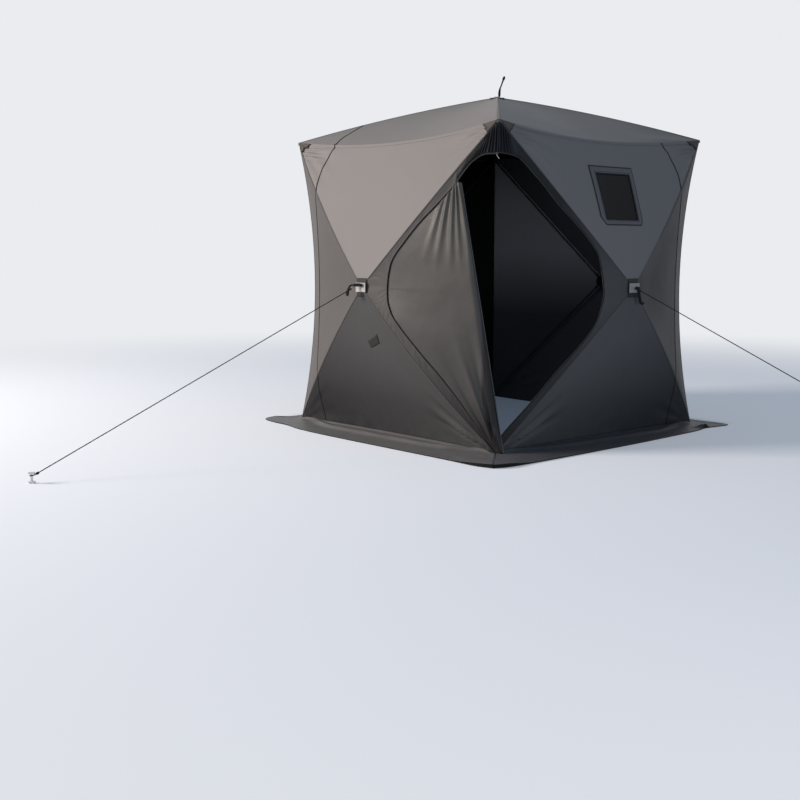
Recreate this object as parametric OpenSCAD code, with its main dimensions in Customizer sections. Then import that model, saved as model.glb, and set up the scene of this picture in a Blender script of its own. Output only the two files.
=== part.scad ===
// Pop-up ice fishing shelter: a square tent of cloth held out by five hubs,
// with a zipped door round its front corner. Millimetres, +Z up, origin on the
// ground in the middle of the box round the shelter and its two ice anchors. The
// door's corner points along -Y, so the walls stand at 45 degrees to the axes.

/* [Shelter] */
// Distance between two corners, on the ground and at the eaves
side = 1800; // [1500:10:2200]
// Height of the four eave corners
corner_h = 1795; // [1500:5:2100]
// Height of the roof hub above the eave corners
roof_rise = 275; // [200:5:400]
// How far a wall hub stands out past the line between two corners
hub_out = 214; // [140:2:300]
// Height of the wall hubs
hub_h = 893; // [700:1:1050]

/* [Cloth] */
// Thickness of the cloth
cloth = 5; // [4:0.5:7]
// How far the middle of an eave hangs below its corners
eave_drop = 58; // [30:1:90]
// How far the middle of an eave is pulled in
eave_pull = 34; // [0:1:60]
// How far a corner edge is pulled in halfway up, towards the middle
waist = 97; // [40:1:140]
// How far the middle of a base edge is pulled in
base_pull = 32; // [0:1:60]
// Distance from a hub's centre to the edge of the cloth round it
hub_hole = 38; // [32:1:46]

/* [Poles] */
// Diameter of a pole
pole_d = 11; // [8:0.5:14]
// Bow of a wall pole halfway along, out of the wall and sideways
pole_bow = [20, 18]; // [2:1:60]
// Bow of the pole above the zipped half of the door
door_upper_bow = [20, 6]; // [2:1:60]
// Bow of the pole below the zipped half of the door
door_lower_bow = [46, 2]; // [2:1:60]
// Upward bow of a roof pole
roof_bow = 20; // [2:1:40]
// Distance from a corner to the middle of the cup that holds the pole tips
cup_inset = 42; // [36:1:60]
// Diameter of a corner cup
cup_d = 32; // [24:1:36]
// Height of the lower cups above the ground
cup_clear = 2; // [1:0.5:6]

/* [Door] */
// Distance from a wall hub's axis to the zip, on the door's left and right half
zip_stop = [196, 212]; // [120:4:280]
// Height of cloth between the zip and the pole above it, on each half
zip_gap_top = [52, 38]; // [12:1:80]
// Height of cloth between the zip and the pole below it, on each half
zip_gap_base = [60, 46]; // [12:1:80]
// Height of the gathered cloth between the eave corner and the zip
head_h = 165; // [100:5:260]
// Height of the cloth between the ground and the zip at the corner
sill_h = 80; // [40:5:160]
// Width of the zip
zip_w = 16; // [8:1:24]
// Thickness of the zip
zip_t = 3; // [1.5:0.5:5]
// Gap between the zip and the cloth behind it
zip_lift = 0.5; // [0.2:0.1:1]
// Distance along the zip, from the corner, at which the flap starts
flap_start = 290; // [200:10:400]
// Width of the flap at its top and bottom ends
flap_end_w = 30; // [20:1:60]
// Share of the flap's width that is turned in behind it
flap_return = 0.55; // [0.3:0.05:0.8]
// Gap between the flap and the cloth that is turned in
flap_gap = 26; // [14:1:50]

/* [Window] */
// Width of the clear pane at its top
pane_w = 304; // [200:2:360]
// Height of the clear pane
pane_h = 266; // [180:2:300]
// Height of the pane's top edge below the eave corners
pane_drop = 249; // [200:1:300]
// Width of the binding round the pane
binding_w = 38; // [30:1:60]
// Thickness of the binding
binding_t = 3; // [1.5:0.5:5]
// Thickness of the pane
pane_t = 2; // [1:0.5:3]
// How much narrower the pane is at its foot, on each side
pane_taper = 7; // [0:1:30]
// Cut across the binding's lower corners
binding_cut = 44; // [10:1:60]

/* [Skirt] */
// Width of the snow skirt past the line between the corners
skirt_w = 300; // [200:5:400]
// Length cut off the skirt's outer corners, at the door and at the others
skirt_cut = [60, 240]; // [10:10:300]
// Thickness of the skirt
skirt_t = 5; // [4:0.5:8]
// Gap between the skirt and the wall above it
skirt_gap = 3; // [2:0.5:6]

/* [Hubs and stays] */
// Width and height of a hub's outer plate
plate = [80, 58]; // [50:2:90]
// Thickness of a hub's outer plate
plate_t = 4; // [2:0.5:6]
// Width and height of the cloth tab behind the plate
tab = [92, 108]; // [50:2:140]
// Thickness of the cloth tab
tab_t = 3; // [2:0.5:5]
// Diameter of the hub's body inside the cloth
hub_d = 76; // [60:1:100]
// Thickness of the hub's body
hub_t = 26; // [18:1:36]
// Gap between the hub's body and the cloth in front of it
hub_clear = 3; // [2:0.5:8]
// Length of a hub's arm, from the hub's axis
arm = 74; // [50:1:110]
// Diameter of a hub's arm, which holds the end of a pole
arm_d = 18; // [15:0.5:24]
// Diameter of the peg that holds the pull strap to its plate
peg_d = 14; // [8:1:24]
// Height of that peg above the plate
peg_h = 4; // [2:0.5:8]
// Width of a pull strap
strap_w = 24; // [16:1:32]
// Thickness of a pull strap, doubled
strap_t = 6; // [4:0.5:10]
// How far a wall strap stands out from its plate
strap_out = 62; // [40:1:90]
// How far a wall strap hangs down
strap_drop = 84; // [50:1:120]
// Height of the roof strap
roof_strap_h = 122; // [80:1:160]
// Diameter of a guy rope
rope_d = 5; // [5:0.5:12]
// Distance from the middle of the shelter to an ice anchor
anchor_reach = 3150; // [2600:10:3600]
// Height at which a guy rope is tied to its anchor
anchor_tie = 36; // [24:1:60]
// Diameter of an anchor's neck
neck_d = 12; // [8:1:18]
// Diameter of an anchor's head and foot
anchor_d = 34; // [24:1:44]
// Thickness of an anchor's head and foot
anchor_t = 8; // [4:1:12]

/* [Hidden] */

LIGHT = [0.62, 0.62, 0.61];
DARK = [0.27, 0.28, 0.29];
BLACK = [0.08, 0.08, 0.09];

half = side / 2;
peak = corner_h + roof_rise;
// Steps of a panel, along its free edge and from there to the hub
ACROSS = 8;
UP = 12;
// Share of the way to the hub at which the cloth ends
hub_end = 1 - hub_hole / norm([half, hub_h]);
// Every wall is drawn facing -Y and then turned to its place
FRONT_LEFT = 0;
FRONT_RIGHT = 1;
BACK_RIGHT = 2;
BACK_LEFT = 3;
WALLS = [FRONT_LEFT:BACK_LEFT];

// Corners of a wall as it is drawn, its hub and the roof's hub
TL = [-half, -half, corner_h];
TR = [half, -half, corner_h];
BL = [-half, -half, 0];
BR = [half, -half, 0];
HUB = [0, -half - hub_out, hub_h];
TOP = [0, 0, peak];
fold_in = waist / sqrt(2);
// The middle of the floor: the anchors in front reach further than the skirt behind
front_reach = anchor_reach / sqrt(2) + anchor_d / 2;
back_reach = (side + 2 * skirt_w - skirt_cut[1]) / sqrt(2);
FLOOR_MIDDLE = [0, (front_reach - back_reach) / 2, 0];

// Direction from a point on the cloth into the shelter, level at the ground
function unit(v) = v / norm(v);
function inward(p) = unit([-p.x, -p.y, -half * pow(p.z / corner_h, 2)]);

// Bow of a pole as a vector: s is -1 for a wall's left pole and 1 for its right one
function bow_of(b, s) = [s * b[1], -b[0], 0];
function zipped(w, s) = w == FRONT_LEFT && s > 0;
function upper_bow(w, s) = bow_of(zipped(w, s) ? door_upper_bow : pole_bow, s);
function lower_bow(w, s) = bow_of(zipped(w, s) ? door_lower_bow : pole_bow, s);

// A point of a cloth triangle with a free edge from a to b and its tip at a hub
function along(a, hub, bow, v) = a + (hub - a) * v + 4 * v * (1 - v) * bow;
function gore(g, u, v) =
    let (l = along(g[0], g[2], g[3], v), r = along(g[1], g[2], g[4], v))
    l + (r - l) * u + 4 * u * (1 - u) * (1 - v) * g[5];

// Each triangle: two corners, hub, two bows and the sag of the free edge
function upper_gore(w) =
    [TR, TL, HUB, upper_bow(w, 1), upper_bow(w, -1), [0, eave_pull, -eave_drop]];
function lower_gore(w) = [BL, BR, HUB, lower_bow(w, -1), lower_bow(w, 1), [0, base_pull, 0]];
function left_gore(w) = [TL, BL, HUB, upper_bow(w, -1), lower_bow(w, -1), [fold_in, fold_in, 0]];
function right_gore(w) = [BR, TR, HUB, lower_bow(w, 1), upper_bow(w, 1), [-fold_in, fold_in, 0]];
function roof_gore() =
    [TL, TR, TOP, [0, 0, roof_bow], [0, 0, roof_bow], [0, eave_pull, -eave_drop]];
function grid_of(g) =
    [for (i = [0:ACROSS]) [for (j = [0:UP]) gore(g, i / ACROSS, j / UP * hub_end)]];

// Faces of a sheet of n by m points and of the same sheet again behind it
function quad(a, b, c, d) = [[a, b, c], [a, c, d]];
function rim(n, m) = concat(
    [for (i = [0:n - 2]) i * m],
    [for (j = [0:m - 2]) (n - 1) * m + j],
    [for (i = [n - 1:-1:1]) i * m + m - 1],
    [for (j = [m - 1:-1:1]) j]
);
function sheet_faces(n, m) = let (back = n * m, loop = rim(n, m), count = len(rim(n, m))) [
    for (i = [0:n - 2], j = [0:m - 2])
        let (a = i * m + j) each quad(a, a + 1, a + m + 1, a + m),
    for (i = [0:n - 2], j = [0:m - 2])
        let (a = back + i * m + j) each quad(a, a + m, a + m + 1, a + 1),
    for (k = [0:count - 1])
        let (p = loop[k], q = loop[(k + 1) % count]) each quad(p, q, q + back, p + back),
];

// A grid of points made a sheet, from lift outside it to depth inside it
module sheet(grid, depth = cloth, lift = 0) {
    points = [for (row = grid) each row];
    polyhedron(
        concat(
            [for (p = points) p - lift * inward(p)],
            [for (p = points) p + depth * inward(p)]
        ),
        sheet_faces(len(grid), len(grid[0])),
        convexity = 6
    );
}

module on_wall(w) translate(FLOOR_MIDDLE) rotate([0, 0, 90 * w - 45]) children();

// Outline of the pane, or of its binding's outer edge, on the wall
function pane_outline(grow, cut) = let (
    top = corner_h - pane_drop + grow,
    foot = corner_h - pane_drop - pane_h - grow,
    a = pane_w / 2 + grow,
    b = pane_w / 2 - pane_taper + grow
) cut > 0
    ? [[-a, top], [a, top], [b, foot + cut], [b - cut, foot], [cut - b, foot], [-b, foot + cut]]
    : [[-a, top], [a, top], [b, foot], [-b, foot]];

module through_wall(grow, cut) {
    translate([0, -half + hub_out, 0])
        rotate([90, 0, 0])
            linear_extrude(3 * hub_out) polygon(pane_outline(grow, cut));
}

module roof_panel(w) color(LIGHT) on_wall(w) sheet(grid_of(roof_gore()));
module wall_upper(w) color(LIGHT) on_wall(w) sheet(grid_of(upper_gore(w)));
module wall_lower(w) color(DARK) on_wall(w) sheet(grid_of(lower_gore(w)));
module left_side(w) color(DARK) on_wall(w) sheet(grid_of(left_gore(w)));
module right_side(w) color(DARK) on_wall(w) sheet(grid_of(right_gore(w)));

module window_wall_upper(w) {
    color(LIGHT)
        on_wall(w)
            difference() {
                sheet(grid_of(upper_gore(w)));
                through_wall(0, 0);
            }
}

module window_pane(w) {
    on_wall(w)
        intersection() {
            sheet(grid_of(upper_gore(w)), depth = pane_t);
            through_wall(0, 0);
        }
}

module window_binding(w) {
    on_wall(w)
        difference() {
            intersection() {
                sheet(grid_of(upper_gore(w)), depth = 0, lift = binding_t);
                through_wall(binding_w, binding_cut);
            }
            through_wall(0, 0);
        }
}

module window_panes() color("black") {
    window_pane(FRONT_RIGHT);
    window_pane(BACK_LEFT);
}

module window_bindings() color("gray") {
    window_binding(FRONT_RIGHT);
    window_binding(BACK_LEFT);
}

// The door's halves: the left one is on the front left wall. A point of a half is
// given by its shares of that side triangle, down its free edge and to the hub.
LEFT_HALF = 0;
RIGHT_HALF = 1;
function door_gore(d) = d == LEFT_HALF
    ? [TR, BR, HUB, upper_bow(FRONT_LEFT, 1), lower_bow(FRONT_LEFT, 1), [-fold_in, fold_in, 0]]
    : [TL, BL, HUB, upper_bow(FRONT_RIGHT, -1), lower_bow(FRONT_RIGHT, -1), [fold_in, fold_in, 0]];
function door_point(d, uv) = gore(door_gore(d), uv[0], uv[1]);

// The zip runs beside the pole for RUN steps and then turns round before the hub
RUN = 8;
TURN = UP - RUN;
run_end = RUN / UP * hub_end;
// Share of the way to the hub over which the zip leaves the corner edge
BEND = 0.16;
function bend(v) = pow(max(0, 1 - v / BEND), 2);
function zip_share(gap, end_h, v) =
    let (share = gap / (corner_h / 2)) share + (end_h / corner_h - share) * bend(v);
function turn_angle(k) = 87 * k / TURN;
function turn_v(d, k) =
    run_end + (1 - zip_stop[d] / half - run_end) * pow(sin(turn_angle(k)), 0.8);
function turn_u(share, k) = 0.5 - (0.5 - share) * cos(turn_angle(k));
function zip_half(d, gap, end_h, j) = let (v = j / UP * hub_end)
    j <= RUN ? [zip_share(gap, end_h, v), v]
             : [turn_u(zip_share(gap, end_h, run_end), j - RUN), turn_v(d, j - RUN)];
function upside_down(uv) = [1 - uv[0], uv[1]];
// Pairs of points from top to bottom: one on the pole's line and one on the zip
function door_lines(d) = concat(
    [for (j = [0:UP]) [[0, j / UP * hub_end], zip_half(d, zip_gap_top[d], head_h, j)]],
    [for (j = [UP:-1:0])
        [[1, j / UP * hub_end], upside_down(zip_half(d, zip_gap_base[d], sill_h, j))]]
);
STRIP = 2;
function in_order(d, list) = d == LEFT_HALF ? list : [for (i = [len(list) - 1:-1:0]) list[i]];
function surround_grid(d) = in_order(d, [
    for (line = door_lines(d))
        [for (k = [0:STRIP]) door_point(d, line[0] + (line[1] - line[0]) * k / STRIP)]
]);
function zip_grid(d) = in_order(d, [
    for (line = door_lines(d))
        let (o = door_point(d, line[0]), z = door_point(d, line[1])) [z + unit(o - z) * zip_w, z]
]);

module door_surround(d) color(DARK) on_wall(d) sheet(surround_grid(d));

module door_zip() {
    color(BLACK)
        for (d = [LEFT_HALF, RIGHT_HALF])
            on_wall(d) sheet(zip_grid(d), depth = -zip_lift, lift = zip_t + zip_lift);
}

// The flap hangs between the left half of the zip and its own free edge
zip_points = [for (line = door_lines(LEFT_HALF)) door_point(LEFT_HALF, line[1])];
flap_first = ceil(flap_start / norm(HUB - TR) / hub_end * UP);
flap_rows = len(zip_points) - 1 - flap_first;
flap_top = zip_points[flap_first];
flap_foot = zip_points[flap_first + flap_rows];
FLAP_SIDE = unit([3, 1, 0]);
function free_edge(i) =
    flap_top + (flap_foot - flap_top) * i / flap_rows + flap_end_w * FLAP_SIDE;
FLAP_STEPS = 6;
function flap_line(i, k) =
    let (z = zip_points[flap_first + i] + cloth * inward(flap_top))
    z + (free_edge(i) - z) * k;
function flap_grid() = [
    for (i = [0:flap_rows]) [for (k = [0:FLAP_STEPS]) flap_line(i, k / FLAP_STEPS)]
];
function turned_grid() = [
    for (i = [0:flap_rows])
        [for (k = [0:FLAP_STEPS]) let (
            share = 1 - flap_return * (1 - k / FLAP_STEPS),
            p = flap_line(i, share)
        ) p + (cloth + flap_gap * (0.1 + sin(180 * i / flap_rows))) * inward(p)]
];

module door_flap() color(DARK) on_wall(FRONT_LEFT) sheet(flap_grid());
module door_flap_turned_in() color(DARK) on_wall(FRONT_LEFT) sheet(turned_grid());

module snow_skirt(w) {
    edge = half + skirt_w;
    right_cut = skirt_cut[w == FRONT_LEFT ? 0 : 1];
    left_cut = skirt_cut[w == FRONT_RIGHT ? 0 : 1];
    inner = [for (i = [0:ACROSS]) let (p = gore(lower_gore(w), i / ACROSS, 0)) [p.x, p.y - skirt_gap]];
    outer = [
        [edge - skirt_gap - right_cut / 2, right_cut / 2 - edge],
        [edge - right_cut, -edge],
        [left_cut - edge, -edge],
        [skirt_gap + left_cut / 2 - edge, left_cut / 2 - edge],
    ];
    color(DARK)
        on_wall(w)
            linear_extrude(skirt_t) polygon(concat(inner, outer));
}

// Corner cups hold the tips of the poles, just inside the cloth
top_cup = TR + cup_inset * inward(TR);
foot_cup = BR + cup_inset * inward(BR) + [0, 0, cup_d / 2 + cup_clear];
function flip(p, s) = [s * p.x, p.y, p.z];

module corner_cups() {
    color(BLACK)
        for (w = WALLS)
            on_wall(w) {
                translate(top_cup) sphere(d = cup_d, $fn = 32);
                translate(foot_cup) sphere(d = cup_d, $fn = 32);
            }
}

// Height of the strap's root above a hub's cloth
strap_base = tab_t + plate_t + peg_h;
// The middle of a hub's body, behind its hole in the cloth
hub_back = hub_d / 2 * hub_out / half + cloth + hub_clear + hub_t / 2;
wall_core = HUB + [0, hub_back, 0];
roof_core = TOP - [0, 0, hub_back];

// A bowed rod from p to q: a piece of a ring, with its middle off the line by bow
module rod(p, q, bow, d) {
    chord = norm(q - p);
    e1 = unit(q - p);
    flat_bow = bow - (bow * e1) * e1;
    rise = norm(flat_bow);
    e2 = unit(flat_bow);
    e3 = cross(e2, e1);
    radius = chord * chord / (8 * rise) + rise / 2;
    turn = 2 * asin(chord / 2 / radius);
    middle = (p + q) / 2 + e2 * (rise - radius);
    multmatrix([
        [e2.x, e1.x, e3.x, middle.x],
        [e2.y, e1.y, e3.y, middle.y],
        [e2.z, e1.z, e3.z, middle.z],
    ])
        rotate([0, 0, -turn / 2])
            rotate_extrude(angle = turn, $fn = 360)
                translate([radius, 0]) circle(d = d, $fn = 24);
}

// A pole runs from its hub's arm to its corner cup
module pole(core, cup, bow) {
    toward = unit(cup - core);
    rod(core + toward * arm, cup - toward * cup_d / 2, bow, pole_d);
}

module wall_poles(w) {
    color(BLACK)
        on_wall(w)
            for (s = [-1, 1]) {
                pole(wall_core, flip(top_cup, s), upper_bow(w, s));
                pole(wall_core, flip(foot_cup, s), lower_bow(w, s));
            }
}

module roof_poles() {
    color(BLACK)
        for (w = WALLS) on_wall(w) pole(roof_core, top_cup, [0, 0, roof_bow]);
}

// Turns what is modelled along +Z so that it lies along v
module toward(v) rotate([0, acos(v.z / norm(v)), atan2(v.y, v.x)]) children();

module arms(core, cups) {
    for (cup = cups)
        translate(core) toward(cup - core) cylinder(d = arm_d, h = arm, $fn = 24);
}

// A hub's plates, tab and body, with its axis along +Z and its cloth's tip at 0
module hub_stack() {
    translate([0, 0, -hub_back - hub_t / 2]) cylinder(d = hub_d, h = hub_t, $fn = 48);
    translate([0, 0, -hub_back]) cylinder(d = hub_hole, h = hub_back, $fn = 32);
    linear_extrude(tab_t) square(tab, center = true);
    linear_extrude(tab_t + plate_t) square(plate, center = true);
    cylinder(d = peg_d, h = strap_base, $fn = 24);
}

module wall_hub(w) {
    color(BLACK)
        on_wall(w) {
            translate(HUB) rotate([90, 0, 0]) hub_stack();
            arms(wall_core, [top_cup, flip(top_cup, -1), foot_cup, flip(foot_cup, -1)]);
        }
}

module roof_hub() {
    color(BLACK)
        translate(FLOOR_MIDDLE) {
            translate(TOP) hub_stack();
            arms(roof_core, [for (a = [1, -1], b = [1, -1]) [a * top_cup.x, b * top_cup.y, top_cup.z]]);
        }
}

// Pull straps: out from the wall plates and down, and upright on the roof
module wall_strap() {
    tie = strap_base + strap_out;
    translate(HUB)
        rotate([90, 0, -90])
            translate([0, 0, -strap_w / 2])
                linear_extrude(strap_w)
                    polygon([
                        [-strap_base, 0], [-tie, 0], [-tie, -strap_drop],
                        [strap_t - tie, -strap_drop], [strap_t - tie, -strap_t], [-strap_base, -strap_t],
                    ]);
}

module pull_straps() {
    color(BLACK) {
        for (w = WALLS) on_wall(w) wall_strap();
        translate(FLOOR_MIDDLE + TOP + [-strap_w / 2, -strap_t / 2, strap_base])
            cube([strap_w, strap_t, roof_strap_h]);
    }
}

// The two front hubs are guyed: a rope runs straight from the strap's turn to its anchor
rope_start = HUB + [0, -strap_base - strap_out - rope_d, -strap_t];
rope_end = [0, -anchor_reach + neck_d / 2 + rope_d, anchor_tie];
module guy_rope(w) {
    color(BLACK)
        on_wall(w)
            translate(rope_start)
                toward(rope_end - rope_start)
                    cylinder(d = rope_d, h = norm(rope_end - rope_start), $fn = 16);
}

module ice_anchors() {
    color("silver")
        for (w = [FRONT_LEFT, FRONT_RIGHT])
            on_wall(w)
                translate([0, -anchor_reach, 0]) {
                    cylinder(d = anchor_d, h = anchor_t, $fn = 32);
                    cylinder(d = neck_d, h = anchor_tie + anchor_t, $fn = 24);
                    translate([0, 0, anchor_tie + anchor_t])
                        cylinder(d = anchor_d, h = anchor_t, $fn = 32);
                }
}

roof_panel(FRONT_LEFT);  // front_left_roof_panel
roof_panel(FRONT_RIGHT);  // front_right_roof_panel
roof_panel(BACK_RIGHT);  // back_right_roof_panel
roof_panel(BACK_LEFT);  // back_left_roof_panel
wall_upper(FRONT_LEFT);  // front_left_wall_upper
window_wall_upper(FRONT_RIGHT);  // front_right_wall_upper
wall_upper(BACK_RIGHT);  // back_right_wall_upper
window_wall_upper(BACK_LEFT);  // back_left_wall_upper
wall_lower(FRONT_LEFT);  // front_left_wall_lower
wall_lower(FRONT_RIGHT);  // front_right_wall_lower
wall_lower(BACK_RIGHT);  // back_right_wall_lower
wall_lower(BACK_LEFT);  // back_left_wall_lower
left_side(FRONT_LEFT);  // front_left_wall_left_side
door_surround(LEFT_HALF);  // left_door_surround
door_surround(RIGHT_HALF);  // right_door_surround
right_side(FRONT_RIGHT);  // front_right_wall_right_side
left_side(BACK_RIGHT);  // back_right_wall_right_side
right_side(BACK_RIGHT);  // back_right_wall_back_side
left_side(BACK_LEFT);  // back_left_wall_back_side
right_side(BACK_LEFT);  // back_left_wall_left_side
door_flap();
door_flap_turned_in();
door_zip();
window_panes();
window_bindings();
snow_skirt(FRONT_LEFT);  // front_left_snow_skirt
snow_skirt(FRONT_RIGHT);  // front_right_snow_skirt
snow_skirt(BACK_RIGHT);  // back_right_snow_skirt
snow_skirt(BACK_LEFT);  // back_left_snow_skirt
wall_hub(FRONT_LEFT);  // front_left_hub
wall_hub(FRONT_RIGHT);  // front_right_hub
wall_hub(BACK_RIGHT);  // back_right_hub
wall_hub(BACK_LEFT);  // back_left_hub
roof_hub();
wall_poles(FRONT_LEFT);  // front_left_wall_poles
wall_poles(FRONT_RIGHT);  // front_right_wall_poles
wall_poles(BACK_RIGHT);  // back_right_wall_poles
wall_poles(BACK_LEFT);  // back_left_wall_poles
roof_poles();
corner_cups();
pull_straps();
guy_rope(FRONT_LEFT);  // front_left_guy_rope
guy_rope(FRONT_RIGHT);  // front_right_guy_rope
ice_anchors();
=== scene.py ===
# Looks of the pop-up ice fishing shelter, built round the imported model.
# Metres, +Z up, the door's corner along -Y. Everything is drawn round the middle of the
# shelter's floor and set back from the frame's origin by FLOOR_MIDDLE.
import math

import bmesh
import bpy
from mathutils import Matrix, Vector, noise


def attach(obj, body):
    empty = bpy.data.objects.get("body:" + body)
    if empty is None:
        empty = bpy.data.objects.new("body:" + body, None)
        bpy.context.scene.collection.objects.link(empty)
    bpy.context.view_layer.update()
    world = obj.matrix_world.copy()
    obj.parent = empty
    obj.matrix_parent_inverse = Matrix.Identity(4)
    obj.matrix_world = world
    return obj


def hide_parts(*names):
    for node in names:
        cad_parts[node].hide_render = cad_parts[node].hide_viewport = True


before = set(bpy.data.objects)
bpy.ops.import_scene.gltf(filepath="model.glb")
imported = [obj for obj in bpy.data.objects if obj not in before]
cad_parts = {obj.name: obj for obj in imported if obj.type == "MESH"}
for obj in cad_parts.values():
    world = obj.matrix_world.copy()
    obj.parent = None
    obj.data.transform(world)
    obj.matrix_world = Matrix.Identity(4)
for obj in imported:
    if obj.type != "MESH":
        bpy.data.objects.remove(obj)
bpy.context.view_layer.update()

FLOOR_MIDDLE = Vector((0, 0.358518, 0))

# Sizes of the shelter, as in the part's source
SIDE = 1.8
HALF = SIDE / 2
CORNER_H = 1.795
ROOF_RISE = 0.275
HUB_OUT = 0.214
HUB_H = 0.893
EAVE_DROP, EAVE_PULL = 0.058, 0.034
FOLD_IN = 0.097 / math.sqrt(2)
BASE_PULL = 0.032
HUB_HOLE = 0.038
POLE_BOW, DOOR_UPPER_BOW, DOOR_LOWER_BOW = (0.020, 0.018), (0.020, 0.006), (0.046, 0.002)
ROOF_BOW = 0.020
FLAP_RETURN = 0.55
PANE_W, PANE_H, PANE_DROP, PANE_TAPER = 0.304, 0.266, 0.249, 0.007
BINDING_W, BINDING_CUT = 0.038, 0.044
SKIRT_W = 0.300
PLATE, TAB = (0.088, 0.054), (0.092, 0.108)
STRAP_BASE = 0.011
ROPE_D, ANCHOR_REACH, ANCHOR_TIE, NECK_D = 0.005, 3.150, 0.036, 0.012
HUB_END = 1 - HUB_HOLE / math.hypot(HALF, HUB_H)

# Every wall is drawn facing -Y and then turned to its place
FRONT_LEFT, FRONT_RIGHT, BACK_RIGHT, BACK_LEFT = WALLS = range(4)
WALL_NAMES = ("front_left", "front_right", "back_right", "back_left")
TURNS = [Matrix.Rotation(math.radians(90 * wall - 45), 3, "Z") for wall in WALLS]
TL, TR = Vector((-HALF, -HALF, CORNER_H)), Vector((HALF, -HALF, CORNER_H))
BL, BR = Vector((-HALF, -HALF, 0)), Vector((HALF, -HALF, 0))
HUB = Vector((0, -HALF - HUB_OUT, HUB_H))
TOP = Vector((0, 0, CORNER_H + ROOF_RISE))
MIDDLE = Vector((0, 0, HUB_H))


def smooth(t):
    t = min(max(t, 0), 1)
    return t * t * (3 - 2 * t)


def arc(t):
    return 4 * t * (1 - t)


def bell(t, width):
    return math.exp(-((t / width) ** 2))


def in_scene(name, data):
    made = bpy.data.objects.new(name, data)
    bpy.context.scene.collection.objects.link(made)
    return made


def from_bmesh(name, bm, *materials):
    mesh = bpy.data.meshes.new(name)
    bm.to_mesh(mesh)
    bm.free()
    for material in materials:
        mesh.materials.append(material)
    return in_scene(name, mesh)


# Camera of the photograph: 1.1 m above the ground, 7.5 m away
LENS_MM, CAMERA_AT, CAMERA_DOWN, CAMERA_TURN = 51.6, Vector((-0.069, -7.494, 1.109)), 7.445, 4.19
camera = in_scene("camera", bpy.data.cameras.new("camera"))
camera.data.lens = LENS_MM
camera.location = CAMERA_AT + FLOOR_MIDDLE
camera.rotation_euler = (math.radians(90 - CAMERA_DOWN), 0, math.radians(CAMERA_TURN))
bpy.context.scene.camera = camera
bpy.context.scene.view_settings.view_transform = "Standard"


def srgb(*levels):
    """A colour written 0 to 255 as it looks, in the linear values that shaders take."""
    return tuple(((c / 255 + 0.055) / 1.055) ** 2.4 for c in levels)


class Value:
    """A socket in a node tree; sums on it add Math nodes."""

    def __init__(self, nodes, socket):
        self.nodes, self.socket = nodes, socket

    def math(self, operation, *terms):
        return self.nodes.node("Math", {"operation": operation}, dict(enumerate(terms)))

    def __add__(self, other):
        return self.math("ADD", self, other)

    def __sub__(self, other):
        return self.math("SUBTRACT", self, other)

    def __rsub__(self, other):
        return self.math("SUBTRACT", other, self)

    def __mul__(self, other):
        return self.math("MULTIPLY", self, other)

    def __pow__(self, other):
        return self.math("POWER", self, other)

    def __abs__(self):
        return self.math("ABSOLUTE", self)

    __radd__ = __add__
    __rmul__ = __mul__

    def above(self, limit):
        return self.math("GREATER_THAN", self, limit)

    def at_most(self, limit):
        return self.math("MINIMUM", self, limit)

    def wave(self, pitch):
        """From -1 to 1 and back over each pitch."""
        return self.math("SINE", self * (2 * math.pi / pitch))

    def split(self):
        axes = self.nodes.node("SeparateXYZ", {}, {0: self})
        return [Value(self.nodes, output) for output in axes.socket.node.outputs]


class Nodes:
    """A node tree whose nodes are added one by one."""

    def __init__(self, tree):
        self.tree = tree

    def plug(self, socket, value):
        if isinstance(value, Value):
            self.tree.links.new(value.socket, socket)
        else:
            socket.default_value = value

    def node(self, kind, settings, values, output=0):
        node = self.tree.nodes.new("ShaderNode" + kind)
        for name, setting in settings.items():
            setattr(node, name, setting)
        for name, value in values.items():
            self.plug(node.inputs[name], value)
        return Value(self, node.outputs[output])

    def mix(self, factor, a, b):
        a, b = (c if isinstance(c, Value) else (*c, 1) for c in (a, b))
        return self.node("Mix", {"data_type": "RGBA"}, {0: factor, 6: a, 7: b}, 2)

    def seen(self):
        """1 to the camera and in what metal or glass shows it, and 0 to the light."""
        straight, glossy, through = (self.node("LightPath", {}, {}, output) for output in (0, 3, 6))
        return (straight + glossy + through).at_most(1)


class Finish(Nodes):
    """A material, with the values that most of them are made from."""

    def __init__(self, name, **levels):
        self.material = bpy.data.materials.new(name)
        self.material.use_nodes = True
        super().__init__(self.material.node_tree)
        self.paint(**levels)

    def paint(self, **values):
        shader = self.tree.nodes["Principled BSDF"]
        for name, value in values.items():
            if isinstance(value, tuple) and len(value) == 3:
                value = (*value, 1)
            self.plug(shader.inputs[name.replace("_", " ")], value)

    def place(self):
        return self.node("TexCoord", {}, {}, 3)

    def flat(self):
        return self.node("UVMap", {"uv_map": "flat"}, {})

    def stretched(self, vector, *scale):
        return self.node("VectorMath", {"operation": "MULTIPLY"}, {0: vector, 1: scale})

    def noise(self, vector, scale, detail=2.0):
        return self.node("TexNoise", {}, {"Vector": vector, "Scale": scale, "Detail": detail})

    def bump(self, height, distance, normal=None):
        values = {"Height": height, "Distance": distance}
        if normal:
            values["Normal"] = normal
        return self.node("Bump", {}, values)


def darker(colour, share):
    return tuple(c * share for c in colour)


def by_height(colour, start, end):
    """A tint that takes over between two heights."""
    return colour, 0, 1 / (end - start), 0, -start / (end - start)


def by_width(colour, start, end):
    """A tint that takes over between two places across the UV map."""
    return colour, 0, 0, 1 / (end - start), -start / (end - start)


# Dust from the snow lies this far up, in this colour
GRIME_TO, DUST = 0.22, srgb(172, 174, 176)


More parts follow.
